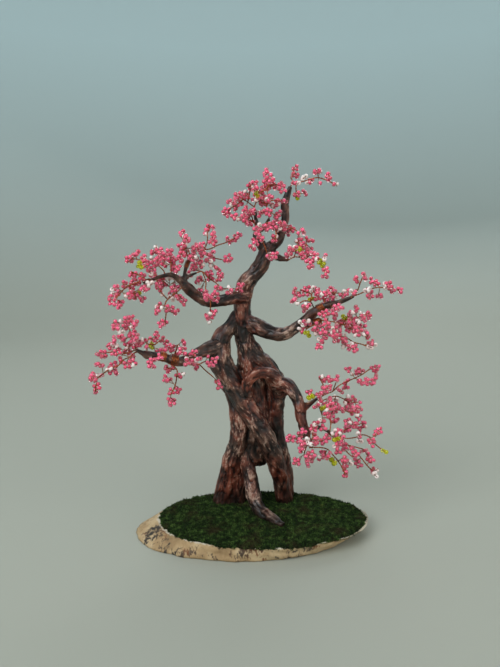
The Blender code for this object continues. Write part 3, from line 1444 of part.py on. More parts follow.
def make_moss(finish):
    """A low uneven mat over the whole top of the slab, open round the feet and the front root."""
    chance = random.Random(MOSS_SEED)
    bm = bmesh.new()
    rings = []
    for share, rise, bumps in MOSS_RINGS:
        ring = oval(SOLE_HEIGHT + MOSS_THICKNESS * rise, SLAB_SKEW, MOSS_LENGTH * share, MOSS_DEPTH * share,
                    MOSS_POINTS)
        rings.append([(x, y, z + chance.uniform(-bumps, bumps)) for x, y, z in ring])
    rows = skin_rings(bm, rings)
    crown = bm.verts.new((SLAB_SKEW, 0.0, SOLE_HEIGHT + MOSS_THICKNESS))
    for a, b in zip(rows[-1], rows[-1][1:] + rows[-1][:1]):
        bm.faces.new((a, b, crown))
    moss = add_object("moss_mat", bm, finish)
    standing = [points for points in STRANDS.values() if points[-1][2] < SOLE_HEIGHT + MOSS_THICKNESS]
    feet = [[point for point in points if point[2] < FEET_TOP] for points in standing]
    room = sculpt("feet", feet, MOSS_GAP, FEET_TRIANGLES)
    cutter = bpy.data.objects.new("feet_room", room)
    bpy.context.scene.collection.objects.link(cutter)
    cut_away(moss, cutter)
    return moss


def main():
    for thing in list(bpy.data.objects):
        bpy.data.objects.remove(thing)
    bark = material("painted_bark", (0.26, 0.17, 0.14), 0.45)
    glass = material("pink_glass_beads", (0.82, 0.30, 0.42), 0.2)
    birch = material("birch", (0.80, 0.72, 0.60), 0.8)
    green = material("moss", (0.10, 0.18, 0.09), 0.95)
    copper = material("copper_wire", (0.72, 0.40, 0.24), 0.35, 1.0)
    make_slab(birch)
    make_moss(green)
    trunk = make_trunk(bark)
    make_armature(copper)
    bm = bmesh.new()
    bm.from_mesh(trunk.data)
    trunk_tree = BVHTree.FromBMesh(bm)
    bm.free()
    for name, plan in lay_out_sprays(trunk_tree).items():
        make_spray(name, plan, glass)


main()
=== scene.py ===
# %% [markdown]
# # A cherry blossom bonsai of glass beads
#
# This lesson dresses a plain, measured model of a handmade tree. The real one is 21 cm tall: a trunk
# sculpted over a bundle of wire and painted, blossoms made of small loops of glass beads on copper wire,
# a mat of moss, and an oval slice of birch that was sawn on the slant. The measured model is loaded
# first, and every new piece takes the place of one of its nodes.

# %% Load the measured model
import math
import random

import bmesh
import bpy
import numpy as np
from mathutils import Matrix, Vector, noise
from mathutils.bvhtree import BVHTree


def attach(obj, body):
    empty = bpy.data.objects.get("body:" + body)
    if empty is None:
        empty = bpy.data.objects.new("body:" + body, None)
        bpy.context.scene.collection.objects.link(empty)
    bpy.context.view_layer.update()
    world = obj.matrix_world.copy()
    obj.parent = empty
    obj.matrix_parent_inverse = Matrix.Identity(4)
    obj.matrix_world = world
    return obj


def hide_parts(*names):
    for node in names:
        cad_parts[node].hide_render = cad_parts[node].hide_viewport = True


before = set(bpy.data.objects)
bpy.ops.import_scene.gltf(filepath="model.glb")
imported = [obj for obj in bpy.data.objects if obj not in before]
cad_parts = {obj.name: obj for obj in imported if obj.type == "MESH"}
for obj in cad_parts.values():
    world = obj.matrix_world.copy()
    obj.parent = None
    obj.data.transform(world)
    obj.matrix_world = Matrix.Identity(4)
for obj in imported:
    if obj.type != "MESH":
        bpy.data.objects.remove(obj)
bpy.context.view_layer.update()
MM = 0.001

# %% [markdown]
# ## The camera
#
# The picture was taken with a phone held about 30 cm in front of the tree, a little below its crown and
# tipped down by 8 degrees. The focal length is given in pixels of a frame 667 pixels high, so it is
# turned into the millimetres that Blender wants for a 36 mm sensor.

# %% Place the camera
FRAME_HEIGHT = 667
FOCAL_PIXELS = 550
SENSOR = 36.0
EYE = Vector((4.7, -305.0, 160.0))
PITCH = math.radians(8)

camera_data = bpy.data.cameras.new("camera")
camera_data.sensor_width = SENSOR
camera_data.lens = SENSOR * FOCAL_PIXELS / FRAME_HEIGHT
camera_data.clip_start = 0.01
camera = bpy.data.objects.new("camera", camera_data)
camera.location = EYE * MM
camera.rotation_euler = (math.radians(90) - PITCH, 0, 0)
bpy.context.scene.collection.objects.link(camera)
bpy.context.scene.camera = camera
print("lens", round(camera_data.lens, 1), "mm")

# %% [markdown]
# ## Two helpers for materials
#
# Colours are written as the hex values that a paint program shows. Shaders work in linear light, so one
# function turns them. Another adds a node with its settings and its links, which keeps every material
# below to a few lines.

# %% Helpers for materials
def linear(hex_colour):
    """An sRGB hex colour as the linear red, green, blue and alpha that shaders take."""
    values = [int(hex_colour[i:i + 2], 16) / 255 for i in (1, 3, 5)]
    return (*[((v + 0.055) / 1.055) ** 2.4 if v > 0.04045 else v / 12.92 for v in values], 1.0)


def add_node(tree, kind, inputs=None, stops=None, **settings):
    """Adds a node. inputs maps a socket's name or number to a value or to another node's output."""
    node = tree.nodes.new("ShaderNode" + kind)
    for name, value in settings.items():
        setattr(node, name, value)
    for key, value in (inputs or {}).items():
        if isinstance(value, bpy.types.NodeSocket):
            tree.links.new(value, node.inputs[key])
        else:
            node.inputs[key].default_value = value
    if stops:
        ramp = node.color_ramp
        while len(ramp.elements) < len(stops):
            ramp.elements.new(1.0)
        for element, (place, colour) in zip(ramp.elements, stops):
            element.position = place
            element.color = colour
    return node


def new_finish(name, **sockets):
    """A material, its node tree and its shader, with plain values set on the shader's own sockets."""
    finish = bpy.data.materials.new(name)
    finish.use_nodes = True
    shader = finish.node_tree.nodes["Principled BSDF"]
    for socket, value in sockets.items():
        shader.inputs[socket.replace("_", " ")].default_value = value
    return finish, finish.node_tree, shader


def cells(size):
    """The scale of a pattern whose cells are this many millimetres across, in object coordinates."""
    return 1.0 / (size * MM)

# %% [markdown]
# ## Two helpers for shapes
#
# Nearly everything on this tree is a rod that bends: strands of the trunk, branches, wires. Each one is
# a curve through a few points, and a circle that is extruded from place to place along it. The circle is
# turned with the curve without twisting, so no rod gets a waist in its bends.

# %% Helpers for shapes
def smooth_path(points, step):
    """A Catmull-Rom curve through the points, read about every step."""
    points = [np.array(p, float) for p in points]
    ends = [2 * points[0] - points[1]] + points + [2 * points[-1] - points[-2]]
    path = [points[0]]
    for a, b, c, d in zip(ends, ends[1:], ends[2:], ends[3:]):
        count = max(1, round(float(np.linalg.norm(c[:3] - b[:3])) / step))
        for i in range(1, count + 1):
            t = i / count
            path.append(0.5 * (2 * b + (c - a) * t + (2 * a - 5 * b + 4 * c - d) * t**2
                               + (3 * b - a - 3 * c + d) * t**3))
    return np.array(path)


def frames_along(path):
    """A matrix for each point of a path: its place, with Z along the path and X never twisting."""
    points = [Vector(p[:3]) for p in path]
    frames = []
    across = None
    for i, here in enumerate(points):
        way = (points[min(i + 1, len(points) - 1)] - points[max(i - 1, 0)]).normalized()
        if across is None:
            across = way.orthogonal()
        across = (across - way * across.dot(way)).normalized()
        frame_here = Matrix((across, way.cross(across), way)).transposed().to_4x4()
        frame_here.translation = here
        frames.append(frame_here)
    return frames


def sweep(bm, frames, radii, sides):
    """A closed rod: a circle extruded from frame to frame, with both ends capped."""
    places = [frame_here @ Matrix.Scale(radius, 4) for frame_here, radius in zip(frames, radii)]
    start = bmesh.ops.create_circle(bm, cap_ends=True, segments=sides, radius=1.0, matrix=places[0])["verts"]
    edges = list(start[0].link_faces[0].edges)
    for before, after in zip(places, places[1:]):
        made = bmesh.ops.extrude_edge_only(bm, edges=edges)["geom"]
        verts = [item for item in made if isinstance(item, bmesh.types.BMVert)]
        edges = [item for item in made if isinstance(item, bmesh.types.BMEdge)]
        edges = [edge for edge in edges if edge.verts[0] in verts and edge.verts[1] in verts]
        bmesh.ops.transform(bm, matrix=after @ before.inverted(), verts=verts)
    bmesh.ops.contextual_create(bm, geom=edges)


def finished(name, bm, finishes, smooth=True):
    """An object at the origin from a mesh drawn in millimetres, its faces pointing outwards."""
    bmesh.ops.scale(bm, vec=(MM, MM, MM), verts=bm.verts)
    bmesh.ops.recalc_face_normals(bm, faces=bm.faces)
    for face in bm.faces:
        face.smooth = smooth
    mesh = bpy.data.meshes.new(name)
    bm.to_mesh(mesh)
    bm.free()
    for finish in finishes:
        mesh.materials.append(finish)
    piece = bpy.data.objects.new(name, mesh)
    bpy.context.scene.collection.objects.link(piece)
    return piece


def with_modifiers(piece):
    """The mesh of a piece after its modifiers, in place of its own."""
    graph = bpy.context.evaluated_depsgraph_get()
    mesh = bpy.data.meshes.new_from_object(piece.evaluated_get(graph))
    piece.modifiers.clear()
    piece.data = mesh
    return mesh


# %% [markdown]
# ## The trunk: strands laid beside each other
#
# The maker twisted wires into a trunk, let their ends run out as branches and roots, and covered them
# with a putty that was modelled with a brush into bark. So the trunk is built the same way: about twenty
# strands, each a centre line with its own thickness, that lie against each other. The numbers are
# millimetres: x to the right, y to the back, z up, and the radius.

# %% Where the strands run
STRANDS = {
    "left_shoulder": [
        (-0.5, 15, 128, 4.1), (-6.5, 14, 120, 4.3), (-12.5, 12, 110.5, 5.8), (-12, 10, 99, 7.0),
        (-5.7, 9, 87, 6.2), (0.5, 8, 75.5, 6.1), (8, 7, 64, 5.9), (15.5, 8, 50.5, 5.6),
        (20.6, 12, 36.5, 5.5), (23.8, 17, 22, 5.0), (26.5, 20, 6, 5.2),
    ],
    "left_leg": [
        (-9, 14, 88.5, 5.3), (-3, 13, 75.5, 5.9), (-1, 12, 63.5, 6.1), (-2, 13, 51, 6.1),
        (-5.8, 15, 37.5, 6.2), (-9.2, 18, 23.5, 6.0), (-12.5, 20, 6, 6.8),
    ],
    "middle": [
        (0.5, 14, 124.5, 4.7), (0.5, 14, 114.5, 4.9), (2, 14, 104, 4.8), (3.5, 15, 94, 6.2),
        (7, 17, 80.5, 6.0), (6, 17, 67, 6.6), (4, 17, 52.5, 6.7), (1, 18, 39.5, 6.1),
        (-2, 19, 24.5, 5.6), (-4, 20, 6, 5.8),
    ],
    "right_strand": [
        (2, 15, 118, 3.4), (4.2, 15, 110, 3.8), (7.6, 14.5, 105, 4.3), (10.3, 14, 100.5, 4.6),
        (15, 13, 96, 5.2), (18, 12.5, 91, 5.6), (20.6, 12, 85.5, 5.3), (21.6, 14, 77.5, 4.4),
        (20.6, 15.5, 65, 4.3), (21.6, 16.5, 52, 4.3), (24.8, 19, 38.5, 4.3), (27.3, 22, 24.5, 4.1),
        (28.3, 23.5, 6, 4.6),
    ],
    "knob": [
        (3.5, 4, 80, 2.4), (3.5, 3, 88.5, 3.0), (8.5, 2, 94, 3.1), (15, 4, 93.5, 3.7),
        (21, 8, 88, 4.4), (24, 12, 79, 3.6),
    ],
    "front_root": [
        (1.5, 14, 44, 3.8), (4, 12, 32, 4.4), (6.5, 9, 21, 4.9), (8.5, 5, 14.5, 4.5),
        (12.2, -1, 11.5, 3.9), (17.5, -7.5, 11, 3.0), (23.5, -14.3, 10.6, 1.9),
    ],
    "core": [
        (5, 15.5, 106, 4.2), (7.5, 16.5, 97, 6.2), (8, 17, 88, 7.6), (9, 18, 72, 9.0), (9, 18, 55, 9.5),
        (9, 20, 42, 9.0), (10, 21.5, 34, 6.4),
    ],
    "back_root": [
        (8, 18, 74, 3.2), (5, 24, 55, 4.5), (2, 27, 30, 4.4), (1, 27.5, 6, 4.2),
    ],
    "back_strand_left": [
        (-6, 13, 95, 3.2), (-3, 18, 82, 4.4), (-2, 22, 66, 4.6), (-2.5, 23, 48, 4.4),
        (-5, 23, 29, 4.2), (-9, 22, 6, 4.2),
    ],
    "back_strand_right": [
        (12, 16, 96, 3.2), (16, 19.5, 82, 4.3), (19, 22.5, 66, 4.2), (21.5, 22.5, 48, 3.8),
        (24.5, 24, 28, 3.6), (26.5, 24.5, 6, 4.0),
    ],
    "upper_trunk": [
        (0.5, 14, 122, 5.2), (0.5, 14, 135, 5.0), (2.6, 13, 144, 5.2), (9, 12, 152, 4.6),
        (13, 11, 159.5, 4.5), (15, 10, 165, 4.0),
    ],
    "crown_left": [
        (12.5, 10, 165, 3.0), (8.5, 9, 170, 2.5), (9, 9, 175, 1.8), (8, 8, 181, 1.2), (7, 7, 187, 0.9),
    ],
    "crown_heart": [(11, 10, 174, 1.2), (14, 11, 178.5, 1.0), (15.5, 11, 181, 0.9)],
    "crown_right": [
        (16, 10, 164.5, 3.6), (21, 10, 169, 2.9), (22.5, 11, 175, 2.7), (24.2, 12, 181, 2.5),
        (24.3, 13, 188, 2.4), (25.6, 14, 194, 1.9), (27.6, 14, 199, 1.2),
    ],
    "upper_right": [(16, 10, 162.5, 3.2), (21, 9, 159, 2.0), (26.5, 8, 158, 1.0)],
    "high_left": [
        (2.5, 12, 136.5, 4.4), (-3.5, 9, 137, 3.9), (-10, 6, 135.5, 3.3), (-17, 3, 134.5, 3.1),
        (-23.5, 0, 137, 3.1), (-28.5, -3, 142, 3.1), (-33, -5, 147, 1.9), (-38, -6, 150, 1.4),
        (-44, -7, 149, 1.1), (-49, -8, 147, 1.0), (-53, -9.5, 146, 0.9),
    ],
    "high_left_up": [
        (-30.5, -4, 144, 2.0), (-31, -4, 149, 1.3), (-30, -4, 154, 1.1), (-28.5, -4, 158.5, 0.9),
    ],
    "high_left_side": [(-30.8, -4, 148, 1.0), (-27.5, -2, 149.8, 0.9), (-24.5, 0, 151, 0.8)],
    "low_left": [
        (-14.5, 10, 108, 5.4), (-21, 5, 106.5, 4.2), (-27, 0, 104.5, 3.2), (-33, -4, 102, 2.9),
        (-39.5, -7, 104, 2.6), (-44.5, -9, 106, 2.2), (-50, -10, 106.5, 2.4), (-53.5, -11, 108, 1.6),
        (-57, -12, 110, 0.9),
    ],
    "right_mid": [
        (4, 14, 122, 4.9), (10, 11, 119, 5.2), (16, 8, 117, 4.6), (22.5, 5, 116, 3.8),
        (28.5, 3, 118.5, 3.3), (34.5, 1, 123.5, 3.2), (40, -1, 129, 2.7), (46.5, -2, 133, 2.1),
        (54, -3, 135, 1.5), (62, -4, 138.5, 0.9),
    ],
    "right_mid_stub": [(34.5, 0, 123, 2.8), (39, -4, 123.5, 2.0), (43, -7, 125.5, 1.1)],
    "low_right": [
        (21, 8, 87, 4.8), (26.5, 5, 86, 4.3), (31, 2, 80.5, 3.8), (33.3, 0, 74, 3.3),
        (34.2, -2, 67, 2.9), (36, -4, 60.5, 2.5), (38, -6, 56.5, 1.6), (39.5, -8, 53.5, 1.0),
    ],
    "low_right_lump": [(34.5, 0, 74.5, 2.4), (39, 3.5, 75.5, 1.7), (44, 7, 78, 1.0)],
    "low_right_side": [(36.5, -3, 60, 2.0), (41, -2, 63, 1.6), (46, 0, 62.5, 1.2), (51.5, 2, 58.5, 1.0)],
}
print("strands", len(STRANDS))

# %% [markdown]
# ### One skin over all strands
#
# Rods that only overlap would show hard seams where they meet. A voxel remesh melts them into one skin,
# as putty does, and a short smoothing rounds the joints. The voxels are 0.6 mm, fine enough for the bark
# that comes next.

# %% Melt the strands together
SOLE_HEIGHT = 8.32
STRAND_STEP = 1.5
BARK_GRAIN = 0.6
BARK_SMOOTHING = 3
STRAND_SIDES = 14

bm = bmesh.new()
for points in STRANDS.values():
    path = smooth_path(points, STRAND_STEP)
    sweep(bm, frames_along(path), path[:, 3], STRAND_SIDES)
trunk = finished("painted_trunk", bm, [])
melt = trunk.modifiers.new("melt", "REMESH")
melt.mode = "VOXEL"
melt.voxel_size = BARK_GRAIN * MM
soften = trunk.modifiers.new("soften", "SMOOTH")
soften.factor = 0.5
soften.iterations = BARK_SMOOTHING
skin = with_modifiers(trunk)
print("trunk skin", len(skin.vertices), "points")

# %% [markdown]
# ### Bark that follows the strands
#
# Bark cracks along the wood, so its pattern needs to know which way the wood runs. For every point of
# the skin the nearest strand is looked up, and the point is written down in that strand's own terms:
# how far along it and where round it. Noise that is read at those places, and stretched along the
# strand, gives ridges and cracks that run up every leg and out along every branch.

# %% Read every point along its own strand
LOOKUP_STEP = 1.0
STRAND_APART = 40.0  # keeps the patterns of two strands from being the same
POINTS_AT_A_TIME = 4000

cores = []
for number, points in enumerate(STRANDS.values()):
    path = smooth_path(points, LOOKUP_STEP)
    lengths = np.concatenate(([0.0], np.cumsum(np.linalg.norm(np.diff(path[:, :3], axis=0), axis=1))))
    for spot, length, turned in zip(path, lengths, frames_along(path)):
        axes = np.array(turned.to_3x3()).T
        cores.append([*spot, length, number * STRAND_APART, *axes.ravel()])
cores = np.array(cores)
spots = np.empty(len(skin.vertices) * 3)
skin.vertices.foreach_get("co", spots)
spots = spots.reshape(-1, 3) / MM
nearest = np.empty(len(spots), int)
for start in range(0, len(spots), POINTS_AT_A_TIME):
    some = spots[start:start + POINTS_AT_A_TIME]
    square = (some**2).sum(1)[:, None] - 2 * some @ cores[:, :3].T + (cores[:, :3] ** 2).sum(1)
    nearest[start:start + POINTS_AT_A_TIME] = (np.sqrt(np.maximum(square, 0)) - cores[:, 3]).argmin(1)
core = cores[nearest]
offset = spots - core[:, :3]
around = np.stack([(offset * core[:, 6:9]).sum(1), (offset * core[:, 9:12]).sum(1)], axis=1)
along = core[:, 4] + (offset * core[:, 12:15]).sum(1)
flow = np.column_stack([around + core[:, 5:6], along])
print("longest way along a strand", round(along.max()), "mm")

# %% [markdown]
# ### Ridges and cracks
#
# Four sizes of noise are added up: lumps that a thumb would leave, smaller ones from a modelling tool,
# ridges about 2 mm wide that a brush dragged along the wood, and fine scratches. Thin twigs get less, or
# they would break. How high each point ends up is kept as an attribute, because the paint later catches
# on the ridges.

# %% Raise the bark
# how high each kind of relief stands, in millimetres
LUMP, KNEAD, RIDGE, SCRATCH = 0.7, 0.42, 0.4, 0.13
CRACK = 0.55
CRACK_SHARPNESS = 0.07
THIN = 3.2  # strands thinner than this get less relief
LEAST_RELIEF = 0.25


def wood_noise(places, wide, long):
    """Noise stretched along the strands: wide millimetres across the wood, long along it."""
    scale = np.array((1 / wide, 1 / wide, 1 / long))
    return np.array([noise.noise(Vector(place)) for place in places * scale])


lumps = wood_noise(flow, 5.0, 10.0)
kneads = wood_noise(flow + 50.0, 2.6, 3.6)
ridges = wood_noise(flow + 100.0, 1.8, 6.0)
scratches = wood_noise(flow + 200.0, 0.9, 2.6)
cracks = np.exp(-((wood_noise(flow + 300.0, 2.4, 9.0) / CRACK_SHARPNESS) ** 2))
strength = np.clip(core[:, 3] / THIN, LEAST_RELIEF, 1.0)
height = LUMP * lumps + KNEAD * kneads + RIDGE * ridges + SCRATCH * scratches - CRACK * cracks
normals = np.empty(len(spots) * 3)
skin.vertices.foreach_get("normal", normals)
raised = (spots + normals.reshape(-1, 3) * (height * strength)[:, None]) * MM
skin.vertices.foreach_set("co", raised.ravel())
print("bark from", round(height.min(), 2), "to", round(height.max(), 2), "mm")

# %% [markdown]
# ### What the paint needs to know
#
# The paint on the real trunk isn't even: some places were left red-brown, others were brushed with
# cream. Those places are listed, each with its middle and its size in millimetres, and fade out
# into their surroundings.

# %% Store the painter's notes on the skin
RUSTY = [
    (-14, 18, 14, 13), (-9, 10, 30, 10), (6, 2, 94, 9), (14, 4, 92, 8), (35, -2, 70, 9), (28, 18, 12, 8),
    (-8, 10, 62, 10), (10, 11, 72, 10), (0, 14, 135, 9), (27, 5, 86, 6), (24, 10, 32, 8),
]
CREAMY = [
    (-6, 10, 100, 8), (0.5, 12, 110, 9), (-2, 8, 60, 8), (4, 3, 14, 10), (14, -4, 9, 8), (27, 12, 40, 7),
    (-6, 10, 44, 7), (20, 8, 90, 8), (2, 8, 28, 6), (8, 8, 66, 10), (28, 1, 118, 7), (31, 2, 84, 8),
    (-10, 8, 88, 8), (20, 5, 53, 8), (4, 13, 143, 9),
]


def closeness(patches):
    """How near each point is to the middle of any patch, from 0 to 1."""
    near = np.zeros(len(spots))
    for *middle, size in patches:
        near = np.maximum(near, np.exp(-(((spots - middle) ** 2).sum(1) / size**2)))
    return near


notes = {"relief": height, "rusty": closeness(RUSTY), "creamy": closeness(CREAMY)}
for name, values in notes.items():
    skin.attributes.new(name, "FLOAT", "POINT").data.foreach_set("value", values)
skin.attributes.new("flow", "FLOAT_VECTOR", "POINT").data.foreach_set("vector", flow.ravel())

# %% [markdown]
# ### A flat sole
#
# The trunk stands on the wood, so it is cut off level and the cut is closed.

# %% Cut the sole flat
bm = bmesh.new()
bm.from_mesh(skin)
everything = bm.verts[:] + bm.edges[:] + bm.faces[:]
bmesh.ops.bisect_plane(bm, geom=everything, plane_co=(0, 0, SOLE_HEIGHT * MM), plane_no=(0, 0, 1),
                       clear_inner=True)
bmesh.ops.holes_fill(bm, edges=[edge for edge in bm.edges if edge.is_boundary])
bmesh.ops.triangulate(bm, faces=[face for face in bm.faces if len(face.verts) > 4])
for face in bm.faces:
    face.smooth = True
bm.to_mesh(skin)
bm.free()
print("trunk", len(skin.polygons), "faces")

# %% [markdown]
# ### Acrylic paint over putty
#
# The base coat is a nearly black brown. Red-brown was dabbed over it while it was wet, so it fades in
# and out. Cream was dry-brushed last: it sits on the ridges in short streaks that follow the wood. A
# satin varnish gives the ridges a soft shine.

# %% Paint the trunk
STREAK_WIDTH = 0.55
STREAK_LENGTH = 1.2
RUST_SPREAD = 0.6
CREAM_SPREAD = 0.16
CREAM_ON_RIDGES = 0.22
# painted shade at the feet, where they stand in the moss: none above the first height, darkest at the second
PAINTED_SHADE_UP_TO = 19.0
PAINTED_SHADE_DARKEST_AT = 9.5

paint, tree, shader = new_finish("acrylic_paint_on_putty", Roughness=0.4, Specular_IOR_Level=0.4)
flow_at = add_node(tree, "Attribute", attribute_name="flow").outputs["Vector"]
relief = add_node(tree, "Attribute", attribute_name="relief").outputs["Fac"]
rusty = add_node(tree, "Attribute", attribute_name="rusty").outputs["Fac"]
creamy = add_node(tree, "Attribute", attribute_name="creamy").outputs["Fac"]
here = add_node(tree, "TexCoord").outputs["Object"]
stretched = add_node(tree, "Mapping", {
    "Vector": flow_at, "Scale": (1 / STREAK_WIDTH, 1 / STREAK_WIDTH, 1 / STREAK_LENGTH)}).outputs["Vector"]
streaks = add_node(tree, "TexNoise", {"Vector": stretched, "Scale": 0.5, "Detail": 3.0,
                                      "Roughness": 0.65}).outputs["Fac"]
blotches = add_node(tree, "TexNoise", {"Vector": here, "Scale": cells(8.0), "Detail": 3.0}).outputs["Fac"]
on_ridges = add_node(tree, "MapRange", {
    "Value": relief, "From Min": -0.5, "From Max": 0.45}).outputs["Result"]
dark_to_brown = add_node(tree, "ValToRGB", {"Fac": on_ridges}, stops=[
    (0.0, linear("#150E0C")), (0.4, linear("#36241E")), (1.0, linear("#624437"))]).outputs["Color"]
red_on_ridges = add_node(tree, "ValToRGB", {"Fac": on_ridges}, stops=[
    (0.0, linear("#200E0B")), (0.5, linear("#56291E")), (1.0, linear("#8A4C3A"))]).outputs["Color"]
rust_amount = add_node(tree, "Math", {0: rusty, 1: RUST_SPREAD, 2: blotches},
                       operation="MULTIPLY_ADD").outputs[0]
rust_mask = add_node(tree, "MapRange", {
    "Value": rust_amount, "From Min": 0.5, "From Max": 0.8}).outputs["Result"]
brown = add_node(tree, "Mix", {0: rust_mask, 6: dark_to_brown, 7: red_on_ridges}, data_type="RGBA").outputs[2]
cream_places = add_node(tree, "Math", {0: creamy, 1: CREAM_SPREAD, 2: streaks},
                        operation="MULTIPLY_ADD").outputs[0]
cream_amount = add_node(tree, "Math", {0: on_ridges, 1: CREAM_ON_RIDGES, 2: cream_places},
                        operation="MULTIPLY_ADD").outputs[0]
cream_mask = add_node(tree, "MapRange", {"Value": cream_amount, "From Min": 0.74, "From Max": 0.89,
                                         "To Max": 0.7}).outputs["Result"]
painted = add_node(tree, "Mix", {0: cream_mask, 6: brown, 7: linear("#BE9E8C")}, data_type="RGBA").outputs[2]
# painted shade: the paint darkens towards the sole, nearly black just above the moss
up = add_node(tree, "SeparateXYZ", {"Vector": here}).outputs["Z"]
out_of_painted_shade = add_node(tree, "MapRange", {"Value": up, "From Min": PAINTED_SHADE_DARKEST_AT * MM, "From Max": PAINTED_SHADE_UP_TO * MM,
                                    "To Min": 0.1}).outputs["Result"]
with_painted_foot_shade = add_node(tree, "Mix", {0: out_of_painted_shade, 6: linear("#120E0B"), 7: painted}, data_type="RGBA").outputs[2]
bump = add_node(tree, "Bump", {"Height": streaks, "Strength": 0.35, "Distance": 0.25 * MM}).outputs["Normal"]
tree.links.new(with_painted_foot_shade, shader.inputs["Base Color"])
tree.links.new(bump, shader.inputs["Normal"])
skin.materials.append(paint)
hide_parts("trunk")
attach(trunk, "root")

# %% [markdown]
# ## The slice of birch
#
# A log that is sawn on the slant gives an oval slice whose bark side leans: broad on the left, undercut
# on the right. Its outline is an oval that is a little uneven. It is extruded upwards in thin layers,
# each one slid to the right, while noise dents the bark side and tears at its upper rim.

# %% Saw the slice
SLAB_LENGTH, SLAB_DEPTH, SLAB_THICKNESS = 122.0, 67.0, 8.0
SLAB_SKEW = 12.5
SLAB_LAYERS = 10
SLAB_POINTS = 200
EDGE_ROUNDING = 0.5
EDGE_SHARE = 0.12
RIM_GROWTH = 0.8
LEFT_FLARE = 1.3
BARK_DENTS = ((9, 0.9), (3, 0.5), (1.2, 0.25))  # how wide and how deep
HIGHEST_BUMP = 0.45
TEAR_FROM, TEAR_DEPTH, TEAR_WIDTH = 0.8, 3, 1.6
OVAL_WAVES = ((3, 0.008, 1.0), (7, 0.006, 0.0))


def oval_place(share_up, grow, angle):
    """A place on the rim of the slice: share_up of its thickness, grown outwards by grow millimetres."""
    slide = SLAB_SKEW * share_up
    uneven = 1 + sum(share * math.sin(waves * angle + shift + (slide if waves == 7 else 0))
                     for waves, share, shift in OVAL_WAVES)
    x = slide + (SLAB_LENGTH / 2 + grow) * uneven * math.cos(angle)
    x -= LEFT_FLARE * (1 - share_up) * max(0.0, -math.cos(angle)) ** 2
    y = (SLAB_DEPTH / 2 + grow) * uneven * math.sin(angle)
    return Vector((x, y, SLAB_THICKNESS * share_up))


def rise(bm, edges, places):
    """Extrudes a ring of edges and puts its new points, in their order round the ring, at the places."""
    made = bmesh.ops.extrude_edge_only(bm, edges=edges)["geom"]
    verts = [item for item in made if isinstance(item, bmesh.types.BMVert)]
    verts.sort(key=lambda vert: math.atan2(vert.co.y, vert.co.x))
    for vert, place in zip(verts, places):
        vert.co = place
    there = set(verts)
    return [item for item in made if isinstance(item, bmesh.types.BMEdge) and set(item.verts) <= there]


def stacked(rims):
    """A closed body: a circle moved onto the first rim, then extruded from each rim to the next."""
    bm = bmesh.new()
    outline = bmesh.ops.create_circle(bm, cap_ends=True, segments=SLAB_POINTS, radius=1.0)["verts"]
    outline.sort(key=lambda vert: math.atan2(vert.co.y, vert.co.x))
    edges = list(outline[0].link_faces[0].edges)
    for vert, place in zip(outline, rims[0]):
        vert.co = place
    for places in rims[1:]:
        edges = rise(bm, edges, places)
    bmesh.ops.contextual_create(bm, geom=edges)
    return bm


def bumps(place, sizes):
    """Noise of several sizes added up, each given by how wide and how deep it is."""
    return sum(depth * noise.noise(place / width) for width, depth in sizes)


def bark_rim(share_up):
    """The places round the slice at a share of its thickness."""
    rim = min(share_up, 1 - share_up)
    grow = RIM_GROWTH - EDGE_ROUNDING * max(0.0, 1 - rim / EDGE_SHARE)
    places = []
    for angle in angles:
        place = oval_place(share_up, grow, angle)
        torn = noise.noise(Vector((place.x, place.y, 50)) / TEAR_WIDTH)
        tear = max(0.0, share_up - TEAR_FROM) * TEAR_DEPTH * torn
        outwards = Vector((math.cos(angle), 2 * math.sin(angle), 0)).normalized()
        places.append(place + outwards * (min(bumps(place, BARK_DENTS), HIGHEST_BUMP) + tear))
    return places


angles = [-math.pi + 2 * math.pi * (k + 0.5) / SLAB_POINTS for k in range(SLAB_POINTS)]
bm = stacked([bark_rim(layer / SLAB_LAYERS) for layer in range(SLAB_LAYERS + 1)])
slab = finished("birch_slice", bm, [])
print("slice", [round(v / MM) for v in slab.dimensions])

# %% [markdown]
# ### Birch bark
#
# Birch bark is a thin cream skin that has peeled in places down to tan, with dark flecks that lie along
# the trunk of the tree and, on this slice, rust-coloured scars. The torn upper rim shows the pale wood.
# The patterns read the place on the object, so they are the same size all over.

# %% Finish the slice
TORN_UNEVEN, TORN_FROM, TORN_TO = 2.2, 8.4, 8.8

bark, tree, shader = new_finish("birch_bark", Roughness=0.78)
here = add_node(tree, "TexCoord").outputs["Object"]
lying = add_node(tree, "Mapping", {
    "Vector": here, "Rotation": (0, 0.5, 0), "Scale": (1, 1, 0.45)}).outputs["Vector"]
tan_areas = add_node(tree, "TexNoise", {
    "Vector": here, "Scale": cells(14.0), "Detail": 4.0, "Roughness": 0.6}).outputs["Fac"]
skin_colour = add_node(tree, "ValToRGB", {"Fac": tan_areas}, stops=[
    (0.3, linear("#8F7350")), (0.46, linear("#AE9068")), (0.58, linear("#C2A882")),
    (0.75, linear("#9E8058"))]).outputs["Color"]
flecks = add_node(tree, "TexNoise", {
    "Vector": lying, "Scale": cells(1.9), "Detail": 5.0, "Roughness": 0.7}).outputs["Fac"]
fleck_areas = add_node(tree, "TexNoise", {"Vector": here, "Scale": cells(11.0), "Detail": 2.0}).outputs["Fac"]
fleck_sum = add_node(tree, "Math", {0: fleck_areas, 1: 0.9, 2: flecks}, operation="MULTIPLY_ADD").outputs[0]
fleck_mask = add_node(tree, "MapRange", {
    "Value": fleck_sum, "From Min": 1.0, "From Max": 1.09}).outputs["Result"]
rust_noise = add_node(tree, "TexNoise", {"Vector": lying, "Scale": cells(8.0), "Detail": 3.0}).outputs["Fac"]
fleck_colour = add_node(tree, "ValToRGB", {"Fac": rust_noise}, stops=[
    (0.42, linear("#2F2A26")), (0.56, linear("#544131")), (0.68, linear("#7C4A28"))]).outputs["Color"]
flecked = add_node(tree, "Mix", {0: fleck_mask, 6: skin_colour, 7: fleck_colour}, data_type="RGBA").outputs[2]
up = add_node(tree, "SeparateXYZ", {"Vector": here}).outputs["Z"]
